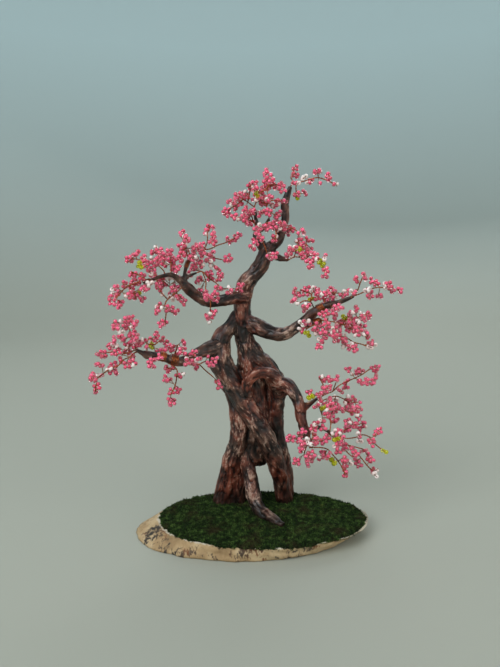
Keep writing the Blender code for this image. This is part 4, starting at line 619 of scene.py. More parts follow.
torn = add_node(tree, "Math", {0: flecks, 1: TORN_UNEVEN * MM, 2: up}, operation="MULTIPLY_ADD").outputs[0]
torn_mask = add_node(tree, "MapRange", {
    "Value": torn, "From Min": TORN_FROM * MM, "From Max": TORN_TO * MM}).outputs["Result"]
rimmed = add_node(tree, "Mix", {0: torn_mask, 6: flecked, 7: linear("#CFC3AE")}, data_type="RGBA").outputs[2]
bump = add_node(tree, "Bump", {"Height": flecks, "Strength": 0.5, "Distance": 0.5 * MM}).outputs["Normal"]
tree.links.new(rimmed, shader.inputs["Base Color"])
tree.links.new(bump, shader.inputs["Normal"])
slab.data.materials.append(bark)
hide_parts("birch_slab")
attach(slab, "root")

# %% [markdown]
# ## Moss
#
# The moss is a thin dried mat glued on the wood. Its body is made like the slice, an oval pulled up and
# in, and a remesh gives it an even skin of small squares. Each square is then poked: it gets a point in
# its middle that is pulled out into a short stalk. Nearly thirty thousand stalks of uneven length and
# lean read as a fuzzy cushion, and the mat is still one closed mesh.

# %% Lay the mat
# the rings of its rim from below: how far in from the rim of the wood, how high above its top
MOSS_RINGS = ((1.6, -0.8), (0.0, -0.6), (0.1, 0.3), (1.5, 0.8), (4.0, 0.9))
HANGING_RINGS = 2
HANGING = 1.2
MOSS_RAGGED = 0.9
MOSS_END_INSETS = (0.9, 2.6)  # at its left and right ends it stops short of the rim
MOSS_GRAIN = 0.55
MOSS_HILLS = ((7, 0.6), (2.2, 0.8))
STALK = (0.5, 1.7)
STALK_LEAN = 0.75
MOSS_SEED = 11


def moss_rim(layer, inset, up):
    """The places round the mat in one of its rings; the lowest rings hang down in tatters."""
    places = []
    for angle in angles:
        round_here = Vector((math.cos(angle), math.sin(angle), 0))
        ragged = MOSS_RAGGED * noise.noise(round_here * 9)
        torn = HANGING * (0.5 + noise.noise(round_here * 14)) if layer < HANGING_RINGS else 0.0
        inset_here = inset + MOSS_END_INSETS[math.cos(angle) > 0] * math.cos(angle) ** 4
        place = oval_place(1.0, RIM_GROWTH - inset_here + ragged, angle)
        places.append(Vector((place.x, place.y, SOLE_HEIGHT + up - torn)))
    return places


bm = stacked([moss_rim(layer, *ring) for layer, ring in enumerate(MOSS_RINGS)])
moss = finished("moss_mat_fuzzy", bm, [])
grain = moss.modifiers.new("grain", "REMESH")
grain.mode = "VOXEL"
grain.voxel_size = MOSS_GRAIN * MM
with_modifiers(moss)

bm = bmesh.new()
bm.from_mesh(moss.data)
tip_layer = bm.verts.layers.float.new("tip")
for vert in bm.verts:
    place = vert.co / MM
    if vert.normal.z > -0.2:
        vert.co += vert.normal * bumps(place, MOSS_HILLS) * MM
chance = random.Random(MOSS_SEED)
top = [face for face in bm.faces if face.normal.z > -0.3]
stalks = bmesh.ops.poke(bm, faces=top)["verts"]
for vert in stalks:
    lean = Vector((chance.gauss(0, 1), chance.gauss(0, 1), chance.gauss(0, 1))) * STALK_LEAN
    vert.co += (vert.normal + lean).normalized() * chance.uniform(*STALK) * MM
    vert[tip_layer] = 1.0
bm.to_mesh(moss.data)
bm.free()
print("moss", len(moss.data.polygons), "faces")

# %% [markdown]
# ### Dried moss
#
# Dried and dyed moss is a dull dark green, browner where the soil shows through. The tips of the stalks
# catch the light, so the green gets a little lighter towards them.

# %% Colour the moss
green, tree, shader = new_finish("dried_moss", Roughness=0.95, Specular_IOR_Level=0.15)
here = add_node(tree, "TexCoord").outputs["Object"]
tip = add_node(tree, "Attribute", attribute_name="tip").outputs["Fac"]
tufts = add_node(tree, "TexNoise", {
    "Vector": here, "Scale": cells(3.0), "Detail": 4.0, "Roughness": 0.7}).outputs["Fac"]
soil = add_node(tree, "TexNoise", {
    "Vector": here, "Scale": cells(11.0), "Detail": 4.0, "Roughness": 0.6}).outputs["Fac"]
deep = add_node(tree, "ValToRGB", {"Fac": tufts}, stops=[
    (0.3, linear("#070A05")), (0.5, linear("#121A0B")), (0.68, linear("#243414"))]).outputs["Color"]
bright = add_node(tree, "ValToRGB", {"Fac": tufts}, stops=[
    (0.3, linear("#15210D")), (0.5, linear("#2C441B")), (0.68, linear("#6C8A42"))]).outputs["Color"]
leafy = add_node(tree, "Mix", {0: tip, 6: deep, 7: bright}, data_type="RGBA").outputs[2]
soil_mask = add_node(tree, "MapRange", {
    "Value": soil, "From Min": 0.5, "From Max": 0.68, "To Max": 0.65}).outputs["Result"]
mossy = add_node(tree, "Mix", {0: soil_mask, 6: leafy, 7: linear("#35291A")}, data_type="RGBA").outputs[2]
tree.links.new(mossy, shader.inputs["Base Color"])
moss.data.materials.append(green)
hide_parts("moss_mat")
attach(moss, "root")

# %% [markdown]
# ## Sprays: where the beads are
#
# Each spray is a few copper wires that grew out of the trunk's bundle. Loops of three or four beads are
# threaded on thinner wire, and the ends of each loop are twisted together down to the main wire. For
# every spray the list gives its wires, from the branch outwards, and where its pink, white and green
# beads show from the front: x and z on a sheet that stands through the middle of the tree.

# %% The sprays
# sprays that are wound round their branch: the strand, and the stretch of its length that they cover
COILS = {
    "left_top_right": ("high_left_up", 0.64, 0.92),
    "left_far": ("high_left", 0.935, 0.985),
    "low_left_hanger": ("low_left", 0.52, 0.60),
    "low_left_front": ("low_left", 0.66, 0.73),
    "right_low_mid": ("right_mid", 0.68, 0.74),
    "right_mid_front": ("right_mid_stub", 0.74, 0.97),
    "low_right_tip": ("low_right", 0.89, 0.95),
}

SPRAYS = {
    "apex": {
        "wires": [
            [
                (28, 14, 198.5), (29, 13, 201), (31, 12, 201), (35, 11, 201.5), (38.5, 9, 202.5),
                (42.5, 8, 203), (46.5, 6, 201.5), (50, 4, 199.5),
            ],
            [(31, 12, 201), (30.5, 12, 198), (31, 12, 194.5)],
            [(29, 13, 201), (27.5, 13, 204)],
        ],
        "pink": [
            (26.5, 205), (27, 203), (25, 199.5), (28, 198.5), (30.5, 201.5), (32, 203.5), (33.5, 199.5),
            (34.5, 198.5), (36.5, 204), (37, 201.5), (37, 199), (39, 200.5), (40.5, 205), (42, 206.5),
            (44, 205), (46, 205.5), (46, 203.5), (42.5, 199), (48.5, 201), (47, 199), (50, 198.5),
            (33.5, 195), (35, 193), (31.5, 199),
        ],
        "white": [
            (32.5, 201), (35, 203), (42.5, 205), (51.5, 198.5),
        ],
        "green": [
            (29, 192.5), (31, 193.5), (30.5, 191),
        ],
    },
    "crown_top": {
        "wires": [
            [(7.5, 7, 187.5), (8.5, 6, 190.5), (10.5, 5, 194.5), (14, 5, 197), (17, 6, 199), (21, 8, 199)],
            [(14, 5, 197), (15.5, 4, 200.5)],
        ],
        "pink": [
            (13.5, 201.5), (14, 198.5), (16, 203.5), (12, 199.5), (15.5, 198.5), (11, 196.5),
            (12.5, 197.5), (15, 196), (17.5, 199), (18.5, 197), (20.5, 199.5), (22.5, 199.5), (21, 197.5),
            (19.5, 194), (17, 195), (15.5, 193), (13, 192.5), (10.5, 190), (13.5, 190), (15, 190.5),
            (8, 197.5), (19.5, 195.5), (16.5, 191),
        ],
        "white": [
            (17, 201.5),
        ],
        "green": [
            (8, 195.5), (8, 193.5), (9, 191.5),
        ],
    },
    "crown_left": {
        "wires": [
            [(6.5, 7, 187), (3.5, 5, 189.5), (1, 4, 191), (-1.5, 3, 192.5)],
            [(3.5, 5, 189.5), (4.5, 3, 194.5), (5, 2, 198.5)],
            [(1, 4, 191), (-3, 2, 187.5), (-6.5, 1, 185.5)],
        ],
        "pink": [
            (3, 198), (5, 199.5), (6.5, 197), (4.5, 194.5), (2, 191.5), (4, 193), (0, 194.5), (-2.5, 193),
            (2, 194), (-6, 190.5), (-8, 189), (-5.5, 188), (-9, 185.5), (-7.5, 183), (-10, 184),
            (-6.5, 185.5), (-3, 187.5), (-0.5, 189.5), (1, 188), (0, 186), (2.5, 186), (1.5, 184.5),
            (-3.5, 185),
        ],
        "white": [
            (-0.5, 191),
        ],
    },
    "crown_heart": {
        "wires": [
            [(15, 11, 181), (14.5, 7, 184.5), (14, 4, 188), (16, 3, 190), (19.5, 4, 190.5)],
        ],
        "pink": [
            (21, 191), (20, 188), (9, 188.5), (11, 187), (14.5, 186), (19, 185.5), (21.5, 184.5),
            (13, 188.5), (16, 184.5), (13, 182.5), (9.5, 181.5), (16, 181.5), (19, 183), (20.5, 181.5),
            (11, 191), (18, 190.5), (14.5, 188.5),
        ],
        "white": [
            (16.5, 187), (10, 184), (8, 190),
        ],
    },
    "crown_low_left": {
        "wires": [
            [(7.5, 9, 173.5), (8, 6, 176.5), (6.5, 4, 179), (3.5, 3, 179.5), (1, 2, 179)],
            [(6.5, 4, 179), (5, 2, 183.5)],
        ],
        "pink": [
            (0.5, 181), (1.5, 179), (3.5, 178.5), (2, 176), (6, 176.5), (4.5, 180), (6, 184), (3.5, 182),
            (7.5, 183), (6, 186), (7.5, 179), (3, 177),
        ],
        "white": [
            (-2, 180),
        ],
    },
    "crown_low_right": {
        "wires": [
            [(21, 11, 175), (18.5, 6, 177.5), (15.5, 4, 178.5), (12.5, 2, 177.5)],
            [(18.5, 6, 177.5), (19, 1, 173), (18.5, 0, 169)],
        ],
        "pink": [
            (11, 178), (12, 175), (14, 176), (18, 176), (15.5, 174), (17.5, 172), (19, 171), (18.5, 180),
            (15.5, 177.5), (13.5, 174), (16, 167.5), (19.5, 168), (21, 178.5),
        ],
        "white": [
            (19.5, 173.5),
        ],
    },
    "crown_front": {
        "wires": [
            [(11.5, 8, 166), (11.5, 4, 168.5), (13, 0, 165), (14, -1, 161.5)],
            [(11.5, 4, 168.5), (8.5, 1, 169.5)],
            [(11.5, 4, 168.5), (10.5, 1, 173), (9.5, 1, 176.5)],
        ],
        "pink": [
            (5, 169), (7.5, 169.5), (8, 167), (5, 165.5), (7, 164), (9.5, 165), (14, 160), (17, 159),
            (9.5, 177.5), (10.5, 174),
        ],
        "white": [
            (15.5, 161.5),
        ],
    },
    "crown_right": {
        "wires": [
            [(24, 12, 177.5), (26, 9, 177), (29, 8, 175), (31, 7, 174)],
        ],
        "pink": [
            (23, 179), (25.5, 177.5), (23, 174), (24.5, 172.5), (26, 173.5), (27.5, 173.5), (30, 174.5),
            (31, 172.5), (22, 176.5),
        ],
        "white": [
            (31.5, 173),
        ],
    },
    "upper_right": {
        "wires": [
            [
                (27.5, 8, 158), (29.5, 7, 159.5), (32, 6, 159.5), (36, 4, 158.5), (39.5, 3, 158),
                (43, 2, 157), (46, 1, 154.5),
            ],
            [(29.5, 7, 159.5), (30.5, 5, 163.5), (31, 4, 166.5)],
            [(32, 6, 159.5), (35, 8, 163.5), (36.5, 9, 167.5)],
        ],
        "pink": [
            (24, 161), (25.5, 160), (25, 162.5), (27.5, 161.5), (27, 160), (29.5, 164.5), (31, 166.5),
            (29, 163), (33.5, 166), (33.5, 168), (35.5, 170), (36, 165.5), (37, 163.5), (35.5, 163.5),
            (36.5, 161), (33.5, 160), (35, 160), (34.5, 162.5), (38, 160.5), (36, 157), (37, 158),
            (37.5, 156.5), (34.5, 157.5), (39, 157), (40, 158.5), (41.5, 158.5), (45, 152.5),
            (47.5, 153.5), (47.5, 151.5), (31.5, 161.5),
        ],
        "white": [
            (30, 168), (32, 161), (39.5, 159.5),
        ],
        "green": [
            (32, 163.5), (31, 164), (43, 156.5), (43.5, 157.5), (45.5, 156), (44, 155),
        ],
    },
    "left_top_right": {
        "wires": [
            [
                (-28.5, -3, 160.5), (-25, -1, 162.5), (-21, 2, 163.5), (-17.5, 4, 164), (-13.5, 6, 166),
                (-9, 8, 167.5), (-4.5, 9, 169.5),
            ],
            [(-21, 2, 163.5), (-19, 2, 167), (-18.5, 1, 171)],
            [(-21, 2, 163.5), (-16.5, 6, 159.5), (-11, 9, 158)],
        ],
        "pink": [
            (-20, 176), (-17, 174.5), (-19, 172.5), (-17, 170), (-15.5, 167), (-17.5, 166.5),
            (-20.5, 167.5), (-22.5, 166.5), (-20.5, 170), (-13, 167.5), (-8, 171.5), (-4.5, 170.5),
            (-6, 168), (-5.5, 165.5), (-8.5, 169), (-2, 173), (0.5, 171.5), (-2, 170), (-13.5, 163),
            (-15.5, 163.5), (-9, 157.5), (-6.5, 157.5), (-19, 160), (-15, 157), (-17.5, 157),
            (-20, 161.5), (-21.5, 163.5), (-20, 157), (-24, 165), (-22, 159.5), (-22.5, 161.5),
            (-20, 158.5), (-17.5, 160.5), (-23.5, 156.5), (-21, 165),
        ],
        "white": [
            (-17, 154.5), (-25, 159.5),
        ],
    },
    "left_top_left": {
        "wires": [
            [(-29.5, -4, 161), (-29.5, -6, 164.5), (-28.5, -7, 168)],
        ],
        "pink": [
            (-32, 172.5), (-30.5, 171), (-28, 169), (-26.5, 166.5), (-28.5, 166.5), (-32, 164),
            (-33, 162.5), (-31, 161.5), (-34, 159), (-32, 157), (-34, 157), (-27, 162.5), (-25.5, 164.5),
            (-26, 160), (-27.5, 158.5), (-31, 159), (-35, 160.5),
        ],
        "white": [
            (-31.5, 170.5), (-29.5, 163),
        ],
    },
    "left_far_top": {
        "wires": [
            [
                (-42, -7, 152.5), (-45, -9, 155.5), (-48.5, -10, 157), (-52, -11, 157.5),
                (-55.5, -11, 158.5), (-58, -12, 158.5),
            ],
            [(-45, -9, 155.5), (-43, -6, 160), (-45.5, -5, 164.5)],
            [(-52, -11, 157.5), (-53, -12, 155)],
        ],
        "pink": [
            (-44.5, 163), (-42.5, 161), (-41.5, 159), (-52.5, 160.5), (-53, 158), (-54, 156),
            (-63.5, 159.5), (-60.5, 159), (-63, 157), (-60, 157), (-58.5, 160.5), (-56.5, 162.5),
            (-55.5, 159.5), (-49.5, 157), (-48.5, 154.5), (-46, 156), (-47.5, 157.5), (-44, 157),
            (-50.5, 154), (-47.5, 152.5),
        ],
        "white": [
            (-47, 165), (-49.5, 159),
        ],
        "green": [
            (-57, 154.5), (-55, 154), (-56, 156.5),
        ],
    },
    "left_mid_top": {
        "wires": [
            [(-38, -5, 152), (-38.5, -2, 156), (-39, 0, 160)],
        ],
        "pink": [
            (-40.5, 163.5), (-38, 163.5), (-39, 161), (-37, 160), (-41, 160.5), (-39.5, 158.5),
            (-37, 157.5), (-41, 157), (-39, 155), (-36, 154.5), (-35, 153), (-37.5, 153.5), (-42, 154.5),
            (-34, 154.5),
        ],
    },
    "left_far": {
        "wires": [
            [
                (-52.5, -10, 147.5), (-55.5, -10, 146), (-60, -11, 144.5), (-63.5, -12, 141.5),
                (-67, -13, 137.5),
            ],
            [(-60, -11, 144.5), (-58, -9, 140.5), (-56.5, -8, 137)],
            [(-52.5, -10, 147.5), (-54, -13, 150), (-57.5, -15, 152)],
        ],
        "pink": [
            (-61, 151), (-58.5, 151), (-55.5, 152), (-57.5, 149), (-62.5, 149), (-65.5, 147.5),
            (-63.5, 146), (-67, 145), (-69.5, 143.5), (-64.5, 143.5), (-60.5, 147.5), (-55, 148.5),
            (-52.5, 149), (-71, 141.5), (-73, 140.5), (-67.5, 141.5), (-68.5, 139), (-65, 141),
            (-62.5, 141.5), (-59, 141.5), (-73.5, 136), (-72, 132.5), (-69.5, 135.5), (-72.5, 135.5),
            (-69, 137.5), (-66, 135), (-62, 138.5), (-58.5, 136.5), (-55.5, 142), (-52.5, 141.5),
            (-56, 145.5), (-60, 144), (-54, 143.5), (-70.5, 138.5),
        ],
        "white": [
            (-64, 138), (-51, 144), (-49.5, 145.5), (-52, 145.5),
        ],
        "green": [
            (-56.5, 140),
        ],
    },
    "left_mid": {
        "wires": [
            [(-44.5, -8, 150), (-42.5, -4, 146.5), (-39.5, 0, 143), (-37, 1, 140.5)],
            [(-42.5, -4, 146.5), (-46, -3, 145)],
        ],
        "pink": [
            (-47.5, 148.5), (-46, 144), (-44, 151), (-41.5, 149.5), (-42.5, 146), (-44, 143),
            (-35.5, 149), (-34, 147), (-32.5, 148), (-29.5, 149.5), (-39, 146.5), (-37, 145),
            (-39.5, 142), (-36.5, 142.5), (-37.5, 138.5), (-32.5, 145), (-34, 142), (-40, 148),
            (-46.5, 146.5), (-44.5, 147.5), (-41, 144), (-49.5, 147.5), (-48, 151),
        ],
        "white": [
            (-38, 148.5),
        ],
    },
    "left_hanger": {
        "wires": [
            [
                (-32.5, -6, 143), (-35, -9, 140.5), (-39.5, -10, 137), (-41, -10, 134), (-40.5, -10, 130),
                (-41, -10, 126),
            ],
            [(-39.5, -10, 137), (-42.5, -11, 140.5)],
            [(-35, -9, 140.5), (-32.5, -9, 138)],
        ],
        "pink": [
            (-47, 132), (-45, 134), (-41, 130.5), (-38, 132.5), (-38.5, 129), (-44.5, 124.5),
            (-41.5, 123.5), (-44, 122), (-45, 141), (-34.5, 136.5), (-32.5, 136.5), (-33.5, 138.5),
            (-37.5, 138),
        ],
        "white": [
            (-44.5, 131.5), (-44, 139), (-39.5, 137.5), (-38.5, 136.5),
        ],
    },
    "left_lower_right": {
        "wires": [
            [
                (-24.5, 0, 153), (-21.5, 1, 151.5), (-18, 0, 148), (-14, -2, 145.5), (-10.5, -3, 142.5),
                (-6, -4, 142.5), (-2, -2, 142),
            ],
            [(-21.5, 1, 151.5), (-19.5, -2, 146), (-19.5, -5, 140.5), (-17, -6, 135.5), (-17, -6, 130.5)],
        ],
        "pink": [
            (-23, 149), (-21.5, 147.5), (-20, 151.5), (-23.5, 147), (-18.5, 149), (-17, 150.5),
            (-15.5, 151.5), (-12.5, 148.5), (-10, 149), (-11.5, 147), (-14.5, 146), (-16, 144),
            (-15, 142), (-11, 142.5), (-8.5, 141.5), (-3, 142), (-1, 142), (0.5, 140.5), (-24, 144),
            (-24.5, 142), (-22, 142), (-22.5, 140), (-21, 137), (-18, 137.5), (-19, 135.5), (-19.5, 139),
            (-16, 138), (-13, 137), (-15.5, 136), (-13.5, 135), (-15.5, 127.5), (-17.5, 125.5),
            (-27, 155), (-27.5, 153),
        ],
        "white": [
            (-7, 143), (-17.5, 128.5), (-18, 123.5), (-25, 154.5),
        ],
    },
    "low_left_top": {
        "wires": [
            [(-57, -12, 110), (-57.5, -13, 114), (-58.5, -14, 118.5), (-60, -14, 122), (-62, -14, 124)],
        ],
        "pink": [
            (-65.5, 124.5), (-65.5, 122), (-63.5, 122), (-60.5, 123.5), (-58, 118.5), (-70, 117.5),
            (-65, 119), (-67.5, 115), (-63.5, 114.5), (-61, 117), (-62, 112.5), (-65, 111.5),
            (-66, 113.5), (-63, 118), (-64.5, 109),
        ],
        "white": [
            (-67.5, 124), (-61.5, 121), (-68.5, 118.5), (-67, 118),
        ],
    },
    "low_left_far": {
        "wires": [
            [(-57.5, -12, 109.5), (-61.5, -10, 108), (-66.5, -9, 107), (-70.5, -8, 108), (-75, -8, 107.5)],
            [(-66.5, -9, 107), (-69.5, -6, 111)],
        ],
        "pink": [
            (-70.5, 113), (-72, 110.5), (-74.5, 108.5), (-77.5, 107), (-81.5, 105.5), (-78.5, 104.5),
            (-76.5, 104), (-73, 105.5), (-66, 108), (-65, 105), (-62, 107), (-61, 105), (-62, 102.5),
            (-68.5, 103), (-68, 101), (-74.5, 106), (-63.5, 109.5), (-79, 107), (-64.5, 107),
        ],
        "white": [
            (-70, 110),
        ],
    },
    "low_left_drop": {
        "wires": [
            [
                (-57.5, -11, 108), (-60.5, -13, 106), (-63, -15, 105), (-66, -16, 102), (-70, -17, 100.5),
                (-73.5, -18, 98), (-76.5, -18, 95.5), (-77.5, -18, 91.5), (-78, -18, 88),
            ],
        ],
        "pink": [
            (-83, 99), (-81, 101), (-80.5, 98.5), (-77, 98.5), (-76.5, 97), (-75, 99), (-74, 93.5),
            (-73, 95), (-71, 94), (-71.5, 96.5), (-67, 100.5), (-65.5, 98), (-62.5, 97.5), (-63.5, 100.5),
            (-85.5, 92.5), (-86, 90), (-83.5, 90), (-82, 90.5), (-82, 86), (-83.5, 82.5),
        ],
        "white": [
            (-74, 97), (-81.5, 93),
        ],
    },
    "low_left_mid": {
        "wires": [
            [(-52, -6, 109), (-52.5, -4, 112), (-51.5, -3, 115)],
            [(-52.5, -4, 112), (-49, -2, 111), (-46, 0, 113)],
        ],
        "pink": [
            (-58, 112.5), (-55.5, 114.5), (-56, 111.5), (-52.5, 115.5), (-51, 114), (-53, 113.5),
            (-53.5, 109.5), (-47.5, 112.5), (-45, 113), (-44, 114.5), (-49.5, 107), (-47.5, 105.5),
            (-45.5, 106.5), (-46, 103), (-48.5, 112.5),
        ],
        "green": [
            (-50.5, 111), (-50.5, 109.5),
        ],
    },
    "low_left_front": {
        "wires": [
            [(-47, -13, 105.5), (-47.5, -16, 104.5), (-49, -17, 104)],
        ],
        "pink": [
            (-53.5, 100.5), (-51, 102), (-49.5, 102.5), (-47, 103), (-50, 100.5),
        ],
    },
    "low_left_near": {
        "wires": [
            [(-37.5, -2, 105.5), (-36.5, -4, 108.5), (-35, -5, 111.5)],
        ],
        "pink": [
            (-39.5, 111.5), (-37.5, 110.5), (-33, 113.5), (-32, 110.5), (-40.5, 105.5), (-38.5, 107),
            (-34.5, 106), (-32.5, 105.5), (-30, 105.5), (-36, 107),
        ],
        "white": [
            (-35.5, 111.5), (-35, 109), (-37, 105.5),
        ],
    },
    "low_left_hanger": {
        "wires": [
            [(-35.5, -9, 101), (-35, -12, 99), (-35, -13, 95.5), (-36, -13, 90.5), (-38.5, -13, 85)],
        ],
        "pink": [
            (-44.5, 97.5), (-42, 99), (-41, 97), (-41, 93.5), (-40.5, 91), (-42.5, 90), (-37, 93.5),
            (-34.5, 92.5), (-37.5, 86), (-34.5, 85.5), (-36.5, 82.5), (-42, 80), (-39.5, 79), (-41, 76.5),
        ],
        "white": [
            (-33, 94),
        ],
    },
    "low_left_right": {
        "wires": [
            [(-31, -7, 101), (-27.5, -9, 101), (-23.5, -8, 101), (-20, -5, 97), (-16, -3, 93)],
            [(-27.5, -9, 101), (-26, -12, 105.5), (-25.5, -12, 108)],
            [(-23.5, -8, 101), (-20, -7, 102.5), (-17.5, -5, 101.5)],
        ],
        "pink": [
            (-15, 89.5), (-13, 90.5), (-12.5, 87.5), (-28, 107), (-25, 107), (-29, 105), (-26.5, 105),
            (-28, 102.5), (-29, 100.5), (-26, 99), (-21, 101), (-19, 104), (-18.5, 100), (-15.5, 100),
            (-16, 97.5),
        ],
        "white": [
            (-31, 103), (-28, 99),
        ],
    },
    "right_mid_near": {
        "wires": [
            [(39.5, -1, 132.5), (38, -4, 135), (34.5, -6, 136), (32, -7, 135)],
            [(38, -4, 135), (38.5, -3, 139), (35.5, -4, 140.5), (32, -6, 142)],
        ],
        "pink": [
            (29, 135), (32, 133), (37, 133), (35.5, 131), (29.5, 138.5), (32, 140.5), (34, 142),
            (34, 137.5), (35.5, 140), (39.5, 143), (41.5, 141.5), (38, 140), (33.5, 139), (39.5, 134),
        ],
        "white": [
            (31, 134), (36.5, 138), (39, 141),
        ],
        "green": [
            (37.5, 136), (39, 137), (41, 136.5),
        ],
    },
    "right_mid_front": {
        "wires": [
            [(35.5, -4, 122), (35.5, -7, 120.5), (36, -8, 118.5)],
            [(35.5, -7, 120.5), (34.5, -10, 124.5)],
        ],
        "pink": [
            (35, 123.5), (37, 124.5), (38, 122.5), (36, 123),
        ],
        "white": [
            (32.5, 124), (34.5, 122),
        ],
        "green": [
            (35.5, 117.5), (37, 118), (38, 115.5),
        ],
    },
    "right_mid_top": {
        "wires": [
            [(44.5, -2, 134), (46.5, 1, 137), (48.5, 3, 140), (52.5, 4, 139.5), (57, 5, 139.5)],
        ],
        "pink": [
            (44, 137), (47, 137.5), (48.5, 143), (50, 142.5), (47.5, 135.5), (49.5, 138.5), (51, 136),
            (53, 140), (54.5, 139), (57.5, 139), (56.5, 137), (46.5, 132.5), (49, 134), (51, 141.5),
        ],
        "white": [
            (44.5, 139), (52.5, 137.5),
        ],
    },
    "right_mid_sprig": {
        "wires": [
            [(48.5, -3, 133.5), (50, -7, 132.5), (51, -12, 132.5)],
        ],
        "pink": [
            (54, 131), (55.5, 131.5),
        ],
    },
    "right_far": {
        "wires": [
            [
                (62.5, -4, 138.5), (66, -3, 140), (70.5, -2, 142), (76.5, -1, 143), (82, 0, 142),
                (86, 0, 141.5),
            ],
            [(62.5, -4, 138.5), (63.5, -6, 142.5), (64, -7, 145), (65.5, -8, 149.5)],
        ],
        "pink": [
            (63, 149), (63, 147.5), (64, 145.5), (67, 152), (67, 150.5), (67.5, 148), (60, 141.5),
            (62, 139), (64, 140.5), (69, 143.5), (70, 145), (71.5, 146.5), (73.5, 143.5), (73, 139),
            (69.5, 140), (75.5, 146.5), (76, 145), (82, 145.5), (75, 138), (77, 139), (78, 137.5),
            (81.5, 141.5), (83.5, 140), (85.5, 140.5), (86.5, 142.5), (89, 142), (88, 140), (71.5, 140.5),
        ],
        "white": [
            (68.5, 141), (71, 142), (79.5, 145), (80, 142.5),
        ],
    },
    "right_low_mid": {
        "wires": [
            [(46.5, -5, 130.5), (47, -8, 127.5), (46.5, -9, 123), (47, -9, 118.5), (44.5, -9, 115.5)],
        ],
        "pink": [
            (50.5, 130), (51.5, 127.5), (43.5, 128), (46.5, 123), (46, 119), (49, 121.5), (48, 124),
            (48, 118), (44, 113.5), (46.5, 115), (47.5, 113), (45, 112.5), (46, 117), (49.5, 116.5),
            (41, 119),
        ],
        "white": [
            (45, 126.5), (47, 126.5), (50.5, 120), (50.5, 118), (41.5, 117),
        ],
    },
    "right_low_far": {
        "wires": [
            [
                (42.5, -9, 125), (47.5, -3, 124.5), (52, 0, 123.5), (57, 2, 122), (62, 4, 123),
                (66, 5, 125.5), (69, 6, 127.5),
            ],
            [(57, 2, 122), (60.5, 0, 120), (64, -2, 118.5), (68, -3, 116)],
        ],
        "pink": [
            (53.5, 128), (52.5, 129), (59, 128), (64.5, 127.5), (61.5, 127), (62, 124.5), (67.5, 130),
            (69.5, 128), (67.5, 126), (51, 126), (52, 123.5), (54, 122), (56, 123.5), (58, 121.5),
            (55, 119.5), (61.5, 122.5), (63.5, 121.5), (66.5, 122), (69, 121.5), (59, 118.5),
            (60.5, 117.5), (62.5, 119.5), (64.5, 118.5), (63.5, 114.5), (66.5, 116.5), (70.5, 114.5),
            (57.5, 124), (54, 124.5), (60, 121.5), (64.5, 124.5), (63, 123),
        ],
        "white": [
            (62, 129), (66.5, 128.5), (65.5, 123.5), (68.5, 116.5),
        ],
        "green": [
            (56, 127.5), (56, 126), (59.5, 126), (60, 124),
        ],
    },
    "right_low_drop": {
        "wires": [
            [
                (43, -8, 124), (47.5, -5, 117.5), (53.5, -4, 116.5), (58.5, -3, 115), (62.5, -2, 112.5),
                (66.5, -2, 111.5), (69.5, -2, 110.5),
            ],
            [(62.5, -2, 112.5), (63.5, -2, 110)],
        ],
        "pink": [
            (59, 114.5), (57, 111.5), (62.5, 110), (64, 110), (65, 108), (63, 107), (71.5, 111),
            (55, 118.5),
        ],
        "white": [
            (57.5, 115.5), (57, 114.5), (57, 109.5), (70, 110), (71.5, 109), (73.5, 109),
        ],
    },
    "low_right_top": {
        "wires": [
            [
                (45, 7, 79), (49.5, 8, 80.5), (53, 8, 82), (56.5, 9, 85), (61.5, 11, 87), (66.5, 12, 89),
                (71, 13, 91), (75, 14, 93.5), (78.5, 14, 94.5),
            ],
            [(66.5, 12, 89), (71, 10, 86.5), (73, 9, 86)],
            [(53, 8, 82), (54, 4, 88)],
        ],
        "pink": [
            (77.5, 98.5), (67, 98.5), (64.5, 95.5), (67, 95.5), (62, 91.5), (59.5, 90.5), (64, 92.5),
            (70.5, 91), (71.5, 93), (74.5, 91), (70.5, 89), (74, 87.5), (71, 86), (54.5, 93.5),
            (52.5, 91), (54.5, 89.5), (57, 86), (58.5, 87.5), (61, 86.5), (58, 89),
        ],
        "white": [
            (75.5, 97.5), (62.5, 94),
        ],
    },
    "low_right_upper_left": {
        "wires": [
            [(43.5, 6, 77.5), (46, 1, 81), (47.5, -2, 85), (45.5, -3, 89), (43.5, -4, 93)],
        ],
        "pink": [
            (42.5, 94.5), (44, 91), (47, 90), (45.5, 87.5), (49, 88), (46.5, 85.5), (47.5, 84),
            (50, 85.5), (50.5, 87), (48.5, 86.5), (49, 83),
        ],
        "white": [
            (45.5, 92.5),
        ],
        "green": [
            (37, 80), (39.5, 81), (40.5, 82), (40, 79.5),
        ],
    },
    "low_right_side": {
        "wires": [
            [(45, 8, 75.5), (50, 13, 76), (56, 16, 77), (61, 17, 75), (65.5, 18, 72)],
        ],
        "pink": [
            (62.5, 82), (60.5, 79.5), (64.5, 79), (65, 76.5), (67.5, 77.5), (50, 80.5), (50.5, 77.5),
            (63.5, 80),
        ],
        "white": [
            (53, 81), (51.5, 80), (54.5, 79), (60.5, 81), (59, 77),
        ],
    },
    "low_right_heart": {
        "wires": [
            [(51.5, 2, 60), (51.5, 3, 64), (51, 4, 67.5), (53.5, 6, 72), (55, 8, 75)],
            [(53.5, 6, 72), (59, 8, 70.5), (65, 10, 68.5)],
            [(51, 4, 67.5), (46.5, 1, 68)],
        ],
        "pink": [
            (44, 77.5), (47, 79), (42.5, 75.5), (50, 76), (48.5, 72), (51.5, 74), (54.5, 73.5),
            (56.5, 75.5), (57.5, 72.5), (60, 74), (58.5, 70.5), (62, 73.5), (63.5, 72), (63.5, 69),
            (66.5, 72), (46, 70.5), (44, 67.5), (47.5, 67), (46.5, 65.5), (51.5, 68.5), (55, 67.5),
            (53, 66), (54, 72), (49.5, 70), (55, 76), (51.5, 77),
        ],
        "white": [
            (44.5, 76), (66, 70),
        ],
        "green": [
            (46, 74), (48, 75),
